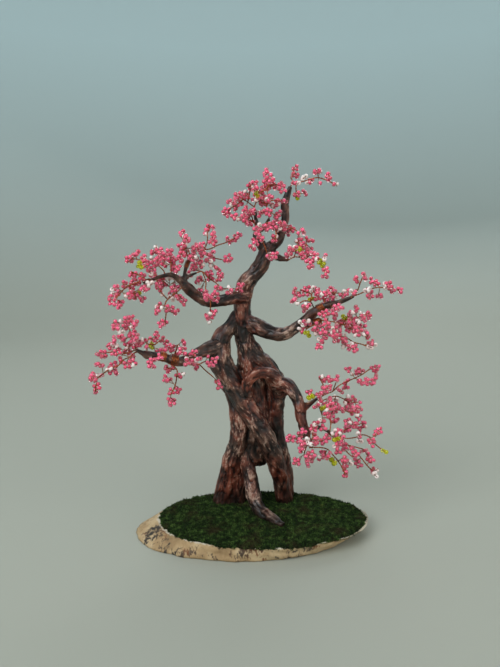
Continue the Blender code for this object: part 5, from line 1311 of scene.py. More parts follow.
        ],
    },
    "low_right_far": {
        "wires": [
            [
                (53, 3, 58), (57, 4, 55.5), (62, 5, 54.5), (67.5, 6, 55), (71.5, 7, 56), (76, 7, 54),
                (77.5, 6, 51.5), (81, 5, 48.5), (83.5, 4, 47),
            ],
            [(57, 4, 55.5), (60.5, 8, 58.5), (65.5, 10, 60), (70.5, 11, 61.5)],
        ],
        "pink": [
            (57.5, 64.5), (60.5, 66.5), (60, 62.5), (63, 63), (61.5, 60.5), (64, 60), (66, 62.5),
            (66, 66.5), (69, 66.5), (69, 63.5), (71, 65.5), (71.5, 62.5), (77, 60.5), (79, 59.5),
            (75.5, 57.5), (68, 57), (75.5, 51.5), (65, 64.5), (66.5, 60),
        ],
        "white": [
            (68.5, 54.5), (67, 54.5),
        ],
        "green": [
            (81, 49), (83, 48.5), (84, 47.5),
        ],
    },
    "low_right_near": {
        "wires": [
            [(52, 0, 58), (52.5, -3, 57.5), (53.5, -4, 56), (53.5, -5, 53.5)],
        ],
        "pink": [
            (54, 57.5), (54.5, 53), (53, 51.5), (55.5, 50.5), (56.5, 53),
        ],
        "white": [
            (52, 59),
        ],
        "green": [
            (53, 56), (52.5, 54.5), (55.5, 56.5), (56.5, 56),
        ],
    },
    "low_right_drop": {
        "wires": [
            [
                (39.5, -9, 54), (43.5, -9, 54), (48, -9, 53), (51, -10, 50), (54, -10, 46.5),
                (56.5, -10, 42.5), (58, -11, 39),
            ],
            [(54, -10, 46.5), (56, -11, 48), (59, -11, 48)],
        ],
        "pink": [
            (45.5, 48), (47.5, 49), (46.5, 45), (48.5, 45.5), (60, 45), (58.5, 42), (61, 36.5),
            (58.5, 34), (61, 32.5),
        ],
        "white": [
            (62, 42), (63, 41.5),
        ],
        "green": [
            (52, 44.5), (51.5, 43), (54, 42), (53.5, 40),
        ],
    },
    "low_right_low": {
        "wires": [
            [
                (52.5, 3, 56), (57, 2, 53.5), (61.5, 2, 51.5), (65.5, 1, 48.5), (69, 0, 44.5),
                (72.5, 0, 40), (75.5, 0, 37),
            ],
            [(61.5, 2, 51.5), (66.5, 4, 49.5), (71, 5, 48)],
            [(57, 2, 53.5), (60, -1, 49), (63.5, -3, 46)],
        ],
        "pink": [
            (78.5, 37), (72.5, 44), (74.5, 42.5), (69.5, 50), (71.5, 49), (73.5, 49), (67.5, 47),
            (64.5, 44.5), (65.5, 43), (68.5, 42.5), (58, 48.5), (60.5, 53.5), (60, 51.5), (62, 50),
            (63.5, 50.5), (58.5, 51),
        ],
        "white": [
            (76.5, 35.5), (78.5, 33.5), (64.5, 48.5),
        ],
    },
    "low_right_tip": {
        "wires": [
            [(37.5, -9, 57), (39, -13, 60.5), (42, -14, 59.5)],
            [(37.5, -9, 57), (35.5, -14, 55.5), (34.5, -15, 52), (36.5, -15, 49.5)],
        ],
        "pink": [
            (40.5, 64), (42.5, 62.5), (38.5, 62), (43, 60.5), (41.5, 56.5), (44, 57), (42, 54),
            (45.5, 54.5), (43.5, 52), (48, 57), (49, 54.5), (46, 53), (34, 53), (33.5, 50), (36, 51.5),
            (33, 46), (30, 44.5), (30, 41.5), (33.5, 42), (32, 40), (38, 47.5), (36.5, 46), (41, 45.5),
            (40.5, 42.5), (37, 43), (39.5, 41),
        ],
        "white": [
            (40.5, 60), (37.5, 56), (38, 54),
        ],
    },
    "low_right_tip_left": {
        "wires": [
            [(34.5, -7, 61), (32.5, -10, 60.5), (30, -11, 59.5), (27.5, -11, 59)],
        ],
        "pink": [
            (26, 55), (27, 57), (29.5, 54.5), (31.5, 57.5), (32.5, 59.5), (34, 57), (34.5, 59),
        ],
        "green": [
            (33.5, 54.5),
        ],
    },
}
COLOURS = ("pink", "white", "green")
beads_read = sum(len(spray.get(colour, [])) for spray in SPRAYS.values() for colour in COLOURS)
print("sprays", len(SPRAYS), "beads", beads_read)

# %% [markdown]
# ### From a flat reading to loops in space
#
# The front view says where a bead shows, but not how deep it lies. So each loop is slid along its line
# of sight to a depth where it hangs on a wire of its spray, on a stem of a likely length, without
# touching a neighbour. Everything already placed is kept as rods with a thickness, which makes the gap
# to any of them quick to work out. The measured model was laid out by the same rule and the same random
# seed, so the beads come to lie where its solids are.

# %% Sizes of wire and loops
BEAD_DIAMETER = 2.3
LOOP_PITCH = 2.4
LOOP_REACH = 4.2
BEADS_PER_LOOP = 4
WIRE_RADIUS = 0.62
WIRE_STEP = 5.0
WIRE_GAP = 0.12
KNOT_CLEARANCE = 1.6
SEAT_REACH = 2.5
LONG_STEM = 4.0
STEM_KNOT_SHARE = 0.2
CORE_STEP = 1.0
JOINT_STEP = 0.5
ROOM_STEP = 3.0
COIL_TURNS = 2
COIL_STEPS = 7
COIL_CLEARANCE = 0.45
SPRAY_SEED = 7
FLATTEST_RING = 0.25
ROUNDEST_RING = 0.97
STEM_LENGTHS = (4.5, 8.5)
SHORTEST_STEM = 1.5
LONGEST_STEM = 9.0
LEAST_DEPTH = 2.0
KNOTS_TRIED = 6
DEPTH_SHARES = (1, 0.7, 0.4, 0.1, -0.3, -0.6, -1, 1.5, -1.5, 2.0, -2.0)
STEM_PROBES = [k / 6 for k in range(1, 7)]
LOOP_CLEARANCE = 0.42
DEPTH_COST = 0.6
KNOT_COST = 0.8
LENGTH_COST = 0.35
CROWDING_COST = 2.5
CLEARANCE = 0.32
START_STEP = 0.1
SHORTEST_STEP = 1.0
RIM_ANGLES = [math.pi * k / 3 for k in range(6)]
PROBE = Vector((0.31, 0.17, 0.93)).normalized()
PROBE_STEP = 0.001 * MM
FAR_ENOUGH = 3.0  # gaps are measured up to here

# %% Rules that lay out the sprays
def segment_gap(point, starts, ends):
    """Distance from a point to each segment, and how far along each the nearest place is."""
    along = ends - starts
    length = np.maximum((along**2).sum(1), 1e-9)
    t = np.clip(((point - starts) * along).sum(1) / length, 0.0, 1.0)
    return np.linalg.norm(starts + along * t[:, None] - point, axis=1), t


def on_sight_line(x, z, y):
    """The place at depth y that the front view shows at (x, z)."""
    eye = np.array(EYE)
    return eye + (np.array((x, 0.0, z)) - eye) * (y - eye[1]) / -eye[1]


def seen_at(point):
    """Where the front view shows a place: (x, z) on the plane y = 0."""
    eye = np.array(EYE)
    shown = eye + (point - eye) * -eye[1] / (point[1] - eye[1])
    return shown[[0, 2]]


class Room:
    """What is already placed: trunk, wires and beads, each a rod with a radius and an owner."""

    def __init__(self):
        self.owners = []
        self.rods = []
        self.table = None

    def add(self, owner, start, end, start_radius, end_radius):
        self.owners.append(owner)
        self.rods.append(np.concatenate((start, end, (start_radius, end_radius))))
        self.table = None

    def gap(self, owner, points, radius):
        """The least gap from balls at the points to anything of another owner, measured up to FAR_ENOUGH."""
        if not self.rods:
            return FAR_ENOUGH
        if self.table is None:
            rods = np.array(self.rods)
            middles = (rods[:, :3] + rods[:, 3:6]) / 2
            sizes = np.linalg.norm(rods[:, 3:6] - middles, axis=1) + rods[:, 6:].max(axis=1)
            self.table = np.array(self.owners), rods, middles, sizes
        owners, rods, middles, sizes = self.table
        heart = np.mean(points, axis=0)
        spread = max(np.linalg.norm(point - heart) for point in points)
        reach = sizes + spread + radius + FAR_ENOUGH
        near = rods[(np.linalg.norm(middles - heart, axis=1) < reach) & (owners != owner)]
        least = FAR_ENOUGH
        if not len(near):
            return least
        for point in points:
            away, t = segment_gap(point, near[:, :3], near[:, 3:6])
            rod_radius = near[:, 6] * (1 - t) + near[:, 7] * t
            least = min(least, float((away - rod_radius).min()) - radius)
        return least


def loops_of(beads):
    """Sets of neighbouring beads, each threaded by one loop of wire and drawn together by it."""
    left = list(beads)
    loops = []
    while left:
        loop = [left.pop(0)]
        while len(loop) < BEADS_PER_LOOP and left:
            reach = [min(math.dist(bead, other) for other in loop) for bead in left]
            if min(reach) > LOOP_REACH:
                break
            loop.append(left.pop(reach.index(min(reach))))
        loops.append(loop)
    return loops


def ring_of_beads(loop, depth, lean):
    """Bead centres and normal of the regular ring, tilted in depth, that shows as the beads were read."""
    loop = np.array(loop)
    heart = on_sight_line(*loop.mean(axis=0), depth)
    if len(loop) == 1:
        return [heart], np.array((0.0, 1.0, 0.0))
    offsets = loop - loop.mean(axis=0)
    spread, axes = np.linalg.eigh(offsets.T @ offsets)
    long_way = np.array((axes[0, 1], 0.0, axes[1, 1]))
    short_way = np.array((axes[0, 0], 0.0, axes[1, 0]))
    foreshortening = min(max(math.sqrt(max(spread[0], 0.0) / spread[1]), FLATTEST_RING), ROUNDEST_RING)
    into = np.array((0.0, lean, 0.0))
    second = short_way * foreshortening + into * math.sqrt(1.0 - foreshortening**2)
    count = max(len(loop), 3)
    radius = LOOP_PITCH / (2 * math.sin(math.pi / count))
    bearings = np.arctan2(offsets @ axes[:, 0] / foreshortening, offsets @ axes[:, 1])
    turn = 2 * math.pi / count
    phase = np.angle(np.exp(1j * bearings * count).sum()) / count
    angles = [phase + turn * k for k in range(count)]
    beads = [heart + radius * (long_way * math.cos(a) + second * math.sin(a)) for a in angles]
    normal = np.cross(long_way, second)
    return beads, normal / np.linalg.norm(normal)


def wound_round(strand, start, stop, toward):
    """A helix round a stretch of a branch, just clear of it, that ends on the side facing a point."""
    path = smooth_path(STRANDS[strand], CORE_STEP)
    steps = COIL_TURNS * COIL_STEPS
    helix = []
    across = None
    for i in range(steps + 1):
        place = (start + (stop - start) * i / steps) * (len(path) - 1)
        low = min(int(place), len(path) - 2)
        here = path[low] + (path[low + 1] - path[low]) * (place - low)
        way = path[low + 1][:3] - path[low][:3]
        way = way / np.linalg.norm(way)
        if across is None:
            across = np.array(toward) - path[round(stop * (len(path) - 1))][:3]
        across = across - way * np.dot(across, way)
        across = across / np.linalg.norm(across)
        angle = 2 * math.pi * (i - steps) / COIL_STEPS
        radius = (here[3] + COIL_CLEARANCE + WIRE_RADIUS) / math.cos(math.pi / COIL_STEPS)
        helix.append(here[:3] + radius * (across * math.cos(angle) + np.cross(way, across) * math.sin(angle)))
    return helix


def seated(wire):
    """A wire that starts on the middle line of the branch nearest to its first point."""
    first = np.array(wire[0], float)
    middles = np.concatenate([smooth_path(points, CORE_STEP) for points in STRANDS.values()])
    away = np.linalg.norm(middles[:, :3] - first, axis=1)
    middle = tuple(middles[away.argmin(), :3])
    return [middle] + list(wire[1:] if away.min() < SEAT_REACH else wire)


def spray_wires(name, laid_wires, trunk_tree):
    """The wires of a spray; where it has a coil, the first wire starts wound round its branch."""
    first, *others = SPRAYS[name]["wires"]
    if name in COILS:
        first = smooth_path(first, WIRE_STEP)
        first = np.array(wound_round(*COILS[name], first[1]) + list(first[1:]))
    else:
        first = clear_start(name, smooth_path(seated(first), WIRE_STEP), laid_wires, trunk_tree)
    wires = [first]
    for wire in others:
        laid = np.concatenate([smooth_path(path, JOINT_STEP) for path in wires])
        joint = laid[np.linalg.norm(laid - np.array(wire[0], float), axis=1).argmin()]
        wires.append(smooth_path([joint] + list(wire[1:]), WIRE_STEP))
    return wires


def clear_start(name, path, laid_wires, trunk_tree):
    """The part of a wire outside the trunk, its start just clear of it and of the other wires."""
    steps = np.linalg.norm(np.diff(path, axis=0), axis=1)
    lengths = np.concatenate(([0.0], np.cumsum(steps)))
    start = 0.0
    while start < lengths[-1]:
        after = np.searchsorted(lengths, start, side="right")
        way = (path[after] - path[after - 1]) / steps[after - 1]
        here = path[after - 1] + way * (start - lengths[after - 1])
        across = Vector(way).orthogonal().normalized()
        around = Vector(way).cross(across)
        rim = [Vector(here) + (across * math.cos(a) + around * math.sin(a)) * WIRE_RADIUS for a in RIM_ANGLES]
        free = laid_wires.gap(name, [here], WIRE_RADIUS) > WIRE_GAP
        if free and all(outside(point, trunk_tree) for point in rim):
            break
        start += START_STEP
    return np.array([here] + [p for p, length in zip(path, lengths) if length > start + SHORTEST_STEP])


def outside(point, trunk_tree):
    """Whether a point lies outside the trunk and at least one clearance away."""
    point = point * MM
    if trunk_tree.find_nearest(point)[3] < CLEARANCE * MM:
        return False
    crossings = 0
    hit = trunk_tree.ray_cast(point, PROBE)[0]
    while hit is not None:
        crossings += 1
        hit = trunk_tree.ray_cast(hit + PROBE * PROBE_STEP, PROBE)[0]
    return crossings % 2 == 0


def lay_out_sprays(trunk_tree):
    """Every spray's wires, stems and loops, each loop pushed along its line of sight until it is clear."""
    chance = random.Random(SPRAY_SEED)
    room = Room()
    for points in STRANDS.values():
        path = smooth_path(points, ROOM_STEP)
        for a, b in zip(path, path[1:]):
            room.add("trunk", a[:3], b[:3], a[3], b[3])
    wires = {}
    laid_wires = Room()
    for name in sorted(SPRAYS, key=lambda name: name not in COILS):
        wires[name] = spray_wires(name, laid_wires, trunk_tree)
        for path in wires[name]:
            for a, b in zip(path, path[1:]):
                room.add(name, a, b, WIRE_RADIUS, WIRE_RADIUS)
                laid_wires.add(name, a, b, WIRE_RADIUS, WIRE_RADIUS)
    layout = {}
    for name, spray in SPRAYS.items():
        knots = [knot for path in wires[name] for knot in path
                 if room.gap(name, [knot], WIRE_RADIUS) > KNOT_CLEARANCE]
        stems = []
        loops = []
        beads_so_far = []
        for colour in COLOURS:
            for loop in loops_of(spray.get(colour, [])):
                stem, beads, normal = place_loop(name, loop, knots, beads_so_far, room, chance)
                stems.append(stem)
                loops.append((colour, beads, normal))
                beads_so_far.extend(beads)
                room.add(name, stem[0], stem[1], WIRE_RADIUS, WIRE_RADIUS)
                for bead in beads:
                    room.add(name, bead, bead, BEAD_DIAMETER / 2, BEAD_DIAMETER / 2)
                if np.linalg.norm(stem[1] - stem[0]) > LONG_STEM:
                    knots.append(stem[0] + (stem[1] - stem[0]) * STEM_KNOT_SHARE)
        layout[name] = {"wires": wires[name], "stems": stems, "loops": loops}
    return layout


def place_loop(name, loop, knots, placed_beads, room, chance):
    """The stem, the bead centres and the normal of one loop, at the best depth clear of other sprays."""
    middle = np.mean(loop, axis=0)
    shown = np.array([seen_at(knot) for knot in knots])
    nearest = np.argsort(np.linalg.norm(shown - middle, axis=1))[:KNOTS_TRIED]
    side = chance.choice((-1, 1))
    reach = chance.uniform(*STEM_LENGTHS)
    lean = chance.choice((-1, 1))
    best = None
    for rank, index in enumerate(nearest):
        knot = knots[index]
        aside = np.linalg.norm(shown[index] - middle)
        most = max(math.sqrt(max(0.0, reach**2 - aside**2)), LEAST_DEPTH)
        for step, share in enumerate(DEPTH_SHARES):
            beads, normal = ring_of_beads(loop, knot[1] + side * share * most, lean)
            heart = np.mean(beads, axis=0)
            stem_way = heart - knot
            length = np.linalg.norm(stem_way)
            if length < SHORTEST_STEM:
                continue
            along = [knot + stem_way * t for t in STEM_PROBES]
            gap = min(room.gap(name, beads, BEAD_DIAMETER / 2), room.gap(name, along, WIRE_RADIUS))
            if gap < LOOP_CLEARANCE:
                continue
            crowding = sum(max(0.0, BEAD_DIAMETER - np.linalg.norm(bead - other))
                           for bead in beads for other in placed_beads)
            cost = step * DEPTH_COST + rank * KNOT_COST + crowding * CROWDING_COST
            cost += abs(length - reach) * LENGTH_COST + max(0.0, length - LONGEST_STEM)
            if best is None or cost < best[0]:
                best = (cost, (knot, heart), beads, normal)
    return best and best[1:]


# %% Lay out the sprays
trunk_mesh = bmesh.new()
trunk_mesh.from_mesh(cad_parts["trunk"].data)
layout = lay_out_sprays(BVHTree.FromBMesh(trunk_mesh))
trunk_mesh.free()
print("loops", sum(len(plan["loops"]) for plan in layout.values()))

# %% [markdown]
# ## Glass beads
#
# A seed bead is a short piece of drawn glass tube whose edges were melted round. Five points in half a
# cross-section, spun round the hole, are enough for a bead that is 5 pixels wide in the picture and
# still round when seen close. A lined bead has its colour inside, so the pink ones hold a second body:
# a small opaque core, which the clear glass round it magnifies until it nearly fills the bead.

# %% Spin one bead of each colour
BEAD_SIDES = 8
GLASS_PROFILE = [(0.4, -0.84), (1.12, -0.74), (1.32, 0.0), (1.12, 0.74), (0.4, 0.84)]
CORE_PROFILE = [(0.42, -0.66), (0.74, -0.54), (0.74, 0.54), (0.42, 0.66)]


def spun_bead(name, bodies):
    """One bead standing on its hole's axis, from profiles that are each spun in a finish of their own."""
    bm = bmesh.new()
    for finish, profile in bodies:
        points = [bm.verts.new((radius, 0, up)) for radius, up in profile]
        edges = [bm.edges.new(pair) for pair in zip(points, points[1:] + points[:1])]
        before = set(bm.faces)
        bmesh.ops.spin(bm, geom=points + edges, axis=(0, 0, 1), cent=(0, 0, 0), angle=2 * math.pi,
                       steps=BEAD_SIDES, use_merge=True)
        for face in set(bm.faces) - before:
            face.material_index = finish
    bmesh.ops.recalc_face_normals(bm, faces=bm.faces)
    mesh = bpy.data.meshes.new(name)
    bm.to_mesh(mesh)
    bm.free()
    return mesh


BEADS = {
    "pink": spun_bead("pink_bead", [(0, GLASS_PROFILE), (1, CORE_PROFILE)]),
    "white": spun_bead("white_bead", [(2, GLASS_PROFILE)]),
    "green": spun_bead("green_bead", [(3, GLASS_PROFILE)]),
}
print("faces in a bead", len(BEADS["pink"].polygons))

# %% [markdown]
# ### Lined glass, pearl and clear green
#
# The pink beads are clear glass with a deep pink paint in their hole. The glass works as a lens: the
# paint shows large and deep in the middle, and the rim stays pale. The white beads are opaque with a
# pearly coat, and the leaves are clear yellow-green glass. Every bead gets a tone of its own, because no
# two beads of a batch took the same colour.

# %% Finish the beads
def let_lamps_through(tree, shader):
    """Glass passes the lamps' light on to what is inside it; only shadow rays need to be told so."""
    clear = add_node(tree, "BsdfTransparent").outputs[0]
    is_shadow = add_node(tree, "LightPath").outputs["Is Shadow Ray"]
    mixed = add_node(tree, "MixShader", {0: is_shadow, 1: shader.outputs[0], 2: clear}).outputs[0]
    tree.links.new(mixed, tree.nodes["Material Output"].inputs["Surface"])


def bead_finish(name, tones, clear=False, **sockets):
    """A finish whose colour runs through the tones from bead to bead."""
    finish, tree, shader = new_finish(name, **sockets)
    tone = add_node(tree, "Attribute", attribute_name="tone").outputs["Fac"]
    stops = [(k / (len(tones) - 1), linear(colour)) for k, colour in enumerate(tones)]
    shade = add_node(tree, "ValToRGB", {"Fac": tone}, stops=stops).outputs["Color"]
    tree.links.new(shade, shader.inputs["Base Color"])
    if clear:
        let_lamps_through(tree, shader)
    return finish


BEAD_FINISHES = [
    bead_finish("colour_lined_glass", ("#F9CFD0", "#FFE8E4"), clear=True,
                Roughness=0.04, IOR=1.38, Transmission_Weight=0.88),
    bead_finish("pink_bead_lining", ("#C80858", "#DA1A68", "#E8387E"), Roughness=0.5),
    bead_finish("pearl_glass", ("#EED6D0", "#FAEFEA"), Roughness=0.22, Coat_Weight=0.8, Coat_Roughness=0.08),
    bead_finish("green_glass", ("#ACB000", "#DCDE2C"), clear=True,
                Roughness=0.06, IOR=1.5, Transmission_Weight=0.7),
]
print("bead finishes", [finish.name for finish in BEAD_FINISHES])

# %% [markdown]
# ### Copper wire
#
# The wire is bare copper, 0.3 mm thick, that has gone a little brown. Two ends twisted together carry
# each loop, and thicker twists of them carry the spray.

# %% Finish the wire
copper, tree, shader = new_finish("bare_copper_wire", Metallic=1.0, Roughness=0.38)
here = add_node(tree, "TexCoord").outputs["Object"]
tarnish = add_node(tree, "TexNoise", {"Vector": here, "Scale": cells(5.0), "Detail": 2.0}).outputs["Fac"]
coppery = add_node(tree, "ValToRGB", {"Fac": tarnish}, stops=[
    (0.35, linear("#7A3C22")), (0.6, linear("#B4663C"))]).outputs["Color"]
tree.links.new(coppery, shader.inputs["Base Color"])

# %% [markdown]
# ### Threading the loops
#
# A twist is two wires that wind round a common line, so each wire is a helix along the path.
# The loop's wire leaves the stem at the gap between two beads, runs through their holes and comes back.
# Where a loop has one bead, the wire makes a small eye that holds it.

# %% Twist the wires and thread the beads
WIRE_SIDES = 5
BUNDLE = {"wire": 0.21, "pitch": 3.0, "step": 0.5}
STEM = {"wire": 0.13, "pitch": 1.8, "step": 0.4}
LOOP_WIRE = 0.14
LOOP_WIRE_STEPS = 14
LOOP_OPENING = 0.12  # the angle that each end of the loop's wire stays away from the neck
EYE_REACH, EYE_RISE, EYE_STEP = 1.3, 0.3, 0.4
NECK_SHARE = 0.75
EYE_OVERLAP = 0.2
WHITE_AMONG_PINK = 0.04
BEAD_SIZES = (0.95, 1.05)


def twist(bm, path, wire, pitch, step):
    """Two wires of a radius wound round each other along a path, one turn in every pitch."""
    middle = frames_along(smooth_path(path, step))
    for side in (0.0, math.pi):
        turns = [Matrix.Rotation(side + 2 * math.pi * i * step / pitch, 4, "Z") for i in range(len(middle))]
        helix = [frame_here @ turn @ Vector((wire, 0, 0)) for frame_here, turn in zip(middle, turns)]
        sweep(bm, frames_along(helix), [wire] * len(helix), WIRE_SIDES)


def place_bead(bm, mesh, place, axis, tone_layer, tone_value, size):
    """Adds one bead with its hole along an axis."""
    before = len(bm.verts)
    bm.from_mesh(mesh)
    bm.verts.ensure_lookup_table()
    turned = Vector((0, 0, 1)).rotation_difference(Vector(axis)).to_matrix().to_4x4()
    matrix = Matrix.Translation(Vector(place)) @ turned @ Matrix.Scale(size, 4)
    verts = bm.verts[before:]
    bmesh.ops.transform(bm, matrix=matrix, verts=verts)
    for vert in verts:
        vert[tone_layer] = tone_value


def thread_loop(wires, beads_mesh, stem, colour, beads, normal, tone_layer, chance):
    """One loop: its stem, its wire and its beads."""
    knot, heart = (np.array(end) for end in stem)
    toward = (knot - heart) / np.linalg.norm(knot - heart)
    if len(beads) == 1:
        axis = np.cross(toward, (0.0, 1.0, 0.0))
        axis = axis / np.linalg.norm(axis)
        neck = heart + toward * BEAD_DIAMETER * NECK_SHARE
        sides = [heart + way * EYE_REACH + toward * EYE_RISE for way in (axis, -axis)]
        eye = smooth_path([neck, sides[0], heart, sides[1], neck + toward * EYE_OVERLAP], EYE_STEP)
        axes = [axis]
    else:
        count = len(beads)
        radial = [(bead - heart) / np.linalg.norm(bead - heart) for bead in beads]
        gaps = [(a + b) / np.linalg.norm(a + b) if count > 2 else a
                for a, b in zip(radial, radial[1:] + radial[:1])]
        gap = max(gaps, key=lambda way: float(way @ toward))
        radius = np.linalg.norm(beads[0] - heart)
        neck = heart + gap * radius
        side = np.cross(normal, gap)
        turns = np.linspace(LOOP_OPENING, 2 * math.pi - LOOP_OPENING, LOOP_WIRE_STEPS)
        eye = [heart + radius * (gap * math.cos(a) + side * math.sin(a)) for a in turns]
        axes = [np.cross(normal, way) for way in radial]
    sweep(wires, frames_along(eye), [LOOP_WIRE] * len(eye), WIRE_SIDES)
    twist(wires, [knot, (knot + neck) / 2, neck], **STEM)
    for bead, axis in zip(beads, axes):
        shade = "white" if colour == "pink" and chance.random() < WHITE_AMONG_PINK else colour
        tone_value, size = chance.random(), chance.uniform(*BEAD_SIZES)
        place_bead(beads_mesh, BEADS[shade], bead, axis, tone_layer, tone_value, size)


# %% [markdown]
# ### A second loop on most stems
#
# The measured model holds one loop for each stem, which is enough for its shape. On the real tree most
# stems fork close to their end and carry another loop beside the first, in front or behind. Each one is
# tried at a few places, and the first that touches no bead and no bark is taken.

# %% Add the second loops
SECOND_REACH = (2.5, 4.0)
SECOND_TRIES = 40
SECOND_FORK = 0.35
SECOND_SHARE = 0.85
SECOND_COUNTS = (3, 4)
SECOND_SEED = 21
# sprays that are thin on the real tree, with a share of their own
THIN_SPRAYS = {"apex": 0.35, "right_far": 0.55, "left_far": 0.5, "low_left_drop": 0.5, "right_mid_sprig": 0.0}
BEAD_ROOM = 2.1
BARK_CLEARANCE = 1.5
LOWEST_BEAD = 14.0
BEADS_WITHIN, BARK_WITHIN = 12.0, 20.0  # no more than these distances can matter to a loop
SKEWED = (0.3, 0.2, 0.9)


def crowd(name, plan, placed, chance):
    """Adds a second loop beside most loops of a spray, where there is room, and returns all beads placed."""
    for stem, (_, beads, _) in list(zip(plan["stems"], plan["loops"])):
        if chance.random() > THIN_SPRAYS.get(name, SECOND_SHARE):
            continue
        knot, heart = (np.array(end) for end in stem)
        beads_near = placed[np.linalg.norm(placed - heart, axis=1) < BEADS_WITHIN]
        bark_near = cores[np.linalg.norm(cores[:, :3] - heart, axis=1) < BARK_WITHIN]
        for _ in range(SECOND_TRIES):
            way, normal = (np.array([chance.gauss(0, 1) for _ in range(3)]) for _ in range(2))
            place = heart + way / np.linalg.norm(way) * chance.uniform(*SECOND_REACH)
            normal = normal / np.linalg.norm(normal)
            count = chance.choice(SECOND_COUNTS)
            radius = LOOP_PITCH / (2 * math.sin(math.pi / count))
            across = np.cross(normal, SKEWED)
            across = across / np.linalg.norm(across)
            second = np.cross(normal, across)
            turns = [2 * math.pi * k / count for k in range(count)]
            ring = [place + radius * (across * math.cos(a) + second * math.sin(a)) for a in turns]
            tried = np.array(ring)[:, None]
            beads_away = np.linalg.norm(tried - beads_near, axis=2).min()
            bark_away = np.linalg.norm(tried - bark_near[:, :3], axis=2) - bark_near[:, 3]
            bark_away = bark_away.min(initial=FAR_ENOUGH)
            if beads_away > BEAD_ROOM and bark_away > BARK_CLEARANCE and place[2] > LOWEST_BEAD:
                plan["stems"].append((knot + (heart - knot) * SECOND_FORK, place))
                plan["loops"].append(("pink", ring, normal))
                placed = np.vstack([placed, ring])
                break
    return placed


# %% [markdown]
# ### Windings
#
# Some sprays don't grow out of the putty: their wire was wound round the finished branch in tight turns.
# The measured model has two loose turns there. Here there are six, side by side.

# %% Make the sprays
WINDING_TURNS = 6
WINDING_STEPS = 12
WINDING_STEP = 0.3
WINDING_WIRE = 0.22
BARK_ROOM = 0.1
ROOT_DEPTH = 2.5


def winding(name):
    """The path of tight turns round a branch."""
    strand, start, stop = COILS[name]
    path = smooth_path(STRANDS[strand], CORE_STEP)
    first, last = round(start * (len(path) - 1)), round(stop * (len(path) - 1))
    stretch = smooth_path(path[first:last + 1], WINDING_STEP)
    frames = frames_along(stretch)
    steps = WINDING_TURNS * WINDING_STEPS
    turns = []
    for i in range(steps + 1):
        at = i / steps * (len(stretch) - 1)
        spot = frames[round(at)]
        radius = stretch[round(at)][3] + BARK_ROOM + WINDING_WIRE
        angle = 2 * math.pi * i / WINDING_STEPS
        turns.append(spot @ Vector((radius * math.cos(angle), radius * math.sin(angle), 0)))
    return turns


chance = random.Random(SECOND_SEED)
placed = np.array([bead for plan in layout.values() for _, beads, _ in plan["loops"] for bead in beads])
print("beads of the measured model", len(placed))
for name, plan in layout.items():
    placed = crowd(name, plan, placed, chance)
print("beads with the second loops", len(placed))
for name, plan in layout.items():
    wires = bmesh.new()
    beads_mesh = bmesh.new()
    tone_layer = beads_mesh.verts.layers.float.new("tone")
    first, *others = [np.array(path) for path in plan["wires"]]
    if name in COILS:
        first = first[COIL_TURNS * COIL_STEPS:]
        turns = winding(name)
        sweep(wires, frames_along(turns), [WINDING_WIRE] * len(turns), WIRE_SIDES)
    else:
        way = first[0] - first[1]
        first = np.concatenate([[first[0] + way / np.linalg.norm(way) * ROOT_DEPTH], first])
    for path in [first] + others:
        twist(wires, path, **BUNDLE)
    for stem, (colour, beads, normal) in zip(plan["stems"], plan["loops"]):
        thread_loop(wires, beads_mesh, stem, colour, beads, normal, tone_layer, chance)
    for piece, slot in ((finished("wires_" + name, wires, [copper]), "copper_wire"),
                        (finished("beads_" + name, beads_mesh, BEAD_FINISHES), "glass_beads")):
        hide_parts("spray_" + name)
        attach(piece, "root")
print("sprays made", len(layout))

# %% [markdown]
# ## What stays from the measured model
#
# The bundle of wires inside the trunk can't be seen, so the measured one is good enough. It gets the
# copper finish.

# %% Finish the hidden bundle
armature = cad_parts["wire_armature"]
armature.data.materials.clear()
armature.data.materials.append(copper)

# %% [markdown]
# ## Floor and light
#
# The tree stands on a plain pale floor that curves up into a wall all round, like the bowl of a photo
# studio, so it looks the same from every side. One large soft lamp from the upper left in front gives
# the shapes their shading, as the window did. A weak one at the right, one behind and a pale sky fill
# the shadows.

# %% Build the studio
FLOOR_RADIUS = 0.9
WALL_RADIUS = 0.9
WALL_HEIGHT = 2.2
BEND_STEPS = 8
ROUND_STEPS = 64
FLOOR_DROP = 0.0002
SKY_STRENGTH = 0.55

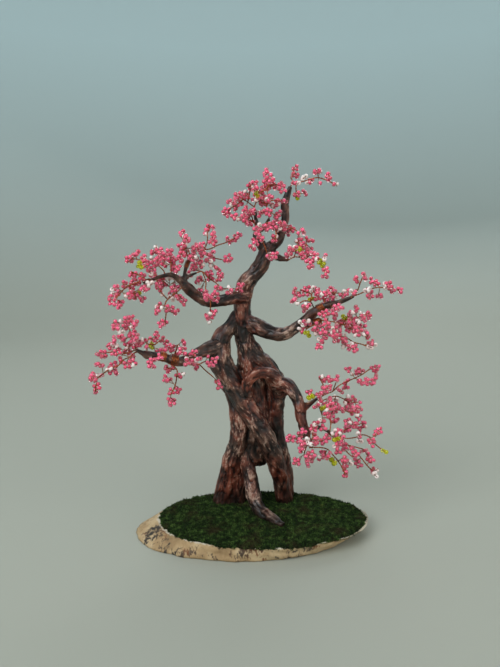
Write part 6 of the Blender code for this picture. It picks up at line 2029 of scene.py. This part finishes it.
bm = bmesh.new()
profile = [bm.verts.new((0, 0, 0)), bm.verts.new((FLOOR_RADIUS, 0, 0))]
for k in range(1, BEND_STEPS + 1):
    angle = math.pi / 2 * k / BEND_STEPS
    outwards, upwards = WALL_RADIUS * math.sin(angle), WALL_RADIUS * (1 - math.cos(angle))
    profile.append(bm.verts.new((FLOOR_RADIUS + outwards, 0, upwards)))
profile.append(bm.verts.new((FLOOR_RADIUS + WALL_RADIUS, 0, WALL_HEIGHT)))
edges = [bm.edges.new(pair) for pair in zip(profile, profile[1:])]
bmesh.ops.spin(bm, geom=profile + edges, axis=(0, 0, 1), cent=(0, 0, 0), angle=2 * math.pi,
               steps=ROUND_STEPS, use_merge=True)
bmesh.ops.remove_doubles(bm, verts=bm.verts, dist=0.0001)
bmesh.ops.recalc_face_normals(bm, faces=bm.faces)
bmesh.ops.reverse_faces(bm, faces=bm.faces)
for face in bm.faces:
    face.smooth = True
studio_mesh = bpy.data.meshes.new("studio")
bm.to_mesh(studio_mesh)
bm.free()
studio = bpy.data.objects.new("studio", studio_mesh)
studio.location.z = -FLOOR_DROP
bpy.context.scene.collection.objects.link(studio)
plaster, tree, shader = new_finish("studio_paint", Roughness=0.9)
here = add_node(tree, "TexCoord").outputs["Object"]
up = add_node(tree, "SeparateXYZ", {"Vector": here}).outputs["Z"]
wall_share = add_node(tree, "MapRange", {"Value": up, "From Max": WALL_RADIUS}).outputs["Result"]
paint_colour = add_node(tree, "Mix", {0: wall_share, 6: linear("#A6A89C"), 7: linear("#D3E6E9")},
                        data_type="RGBA").outputs[2]
tree.links.new(paint_colour, shader.inputs["Base Color"])
studio_mesh.materials.append(plaster)

world = bpy.data.worlds.new("sky")
world.use_nodes = True
world.node_tree.nodes["Background"].inputs["Color"].default_value = linear("#E8EEF2")
world.node_tree.nodes["Background"].inputs["Strength"].default_value = SKY_STRENGTH
bpy.context.scene.world = world


def add_lamp(name, place, aim, size, watts, colour):
    """A square soft lamp that faces a point, both in metres."""
    data = bpy.data.lights.new(name, "AREA")
    data.size = size
    data.energy = watts
    data.color = linear(colour)[:3]
    lamp = bpy.data.objects.new(name, data)
    lamp.location = place
    lamp.rotation_euler = (Vector(aim) - Vector(place)).to_track_quat("-Z", "Y").to_euler()
    bpy.context.scene.collection.objects.link(lamp)


add_lamp("window", (-0.75, -0.85, 0.95), (0, 0, 0.08), 0.9, 14, "#F4F7FA")
add_lamp("fill", (0.9, -0.6, 0.5), (0, 0, 0.1), 0.9, 4, "#FFF8F0")
add_lamp("back", (0.3, 1.0, 0.9), (0, 0, 0.1), 0.9, 5, "#F4F7FA")
bpy.context.scene.view_settings.view_transform = "Standard"
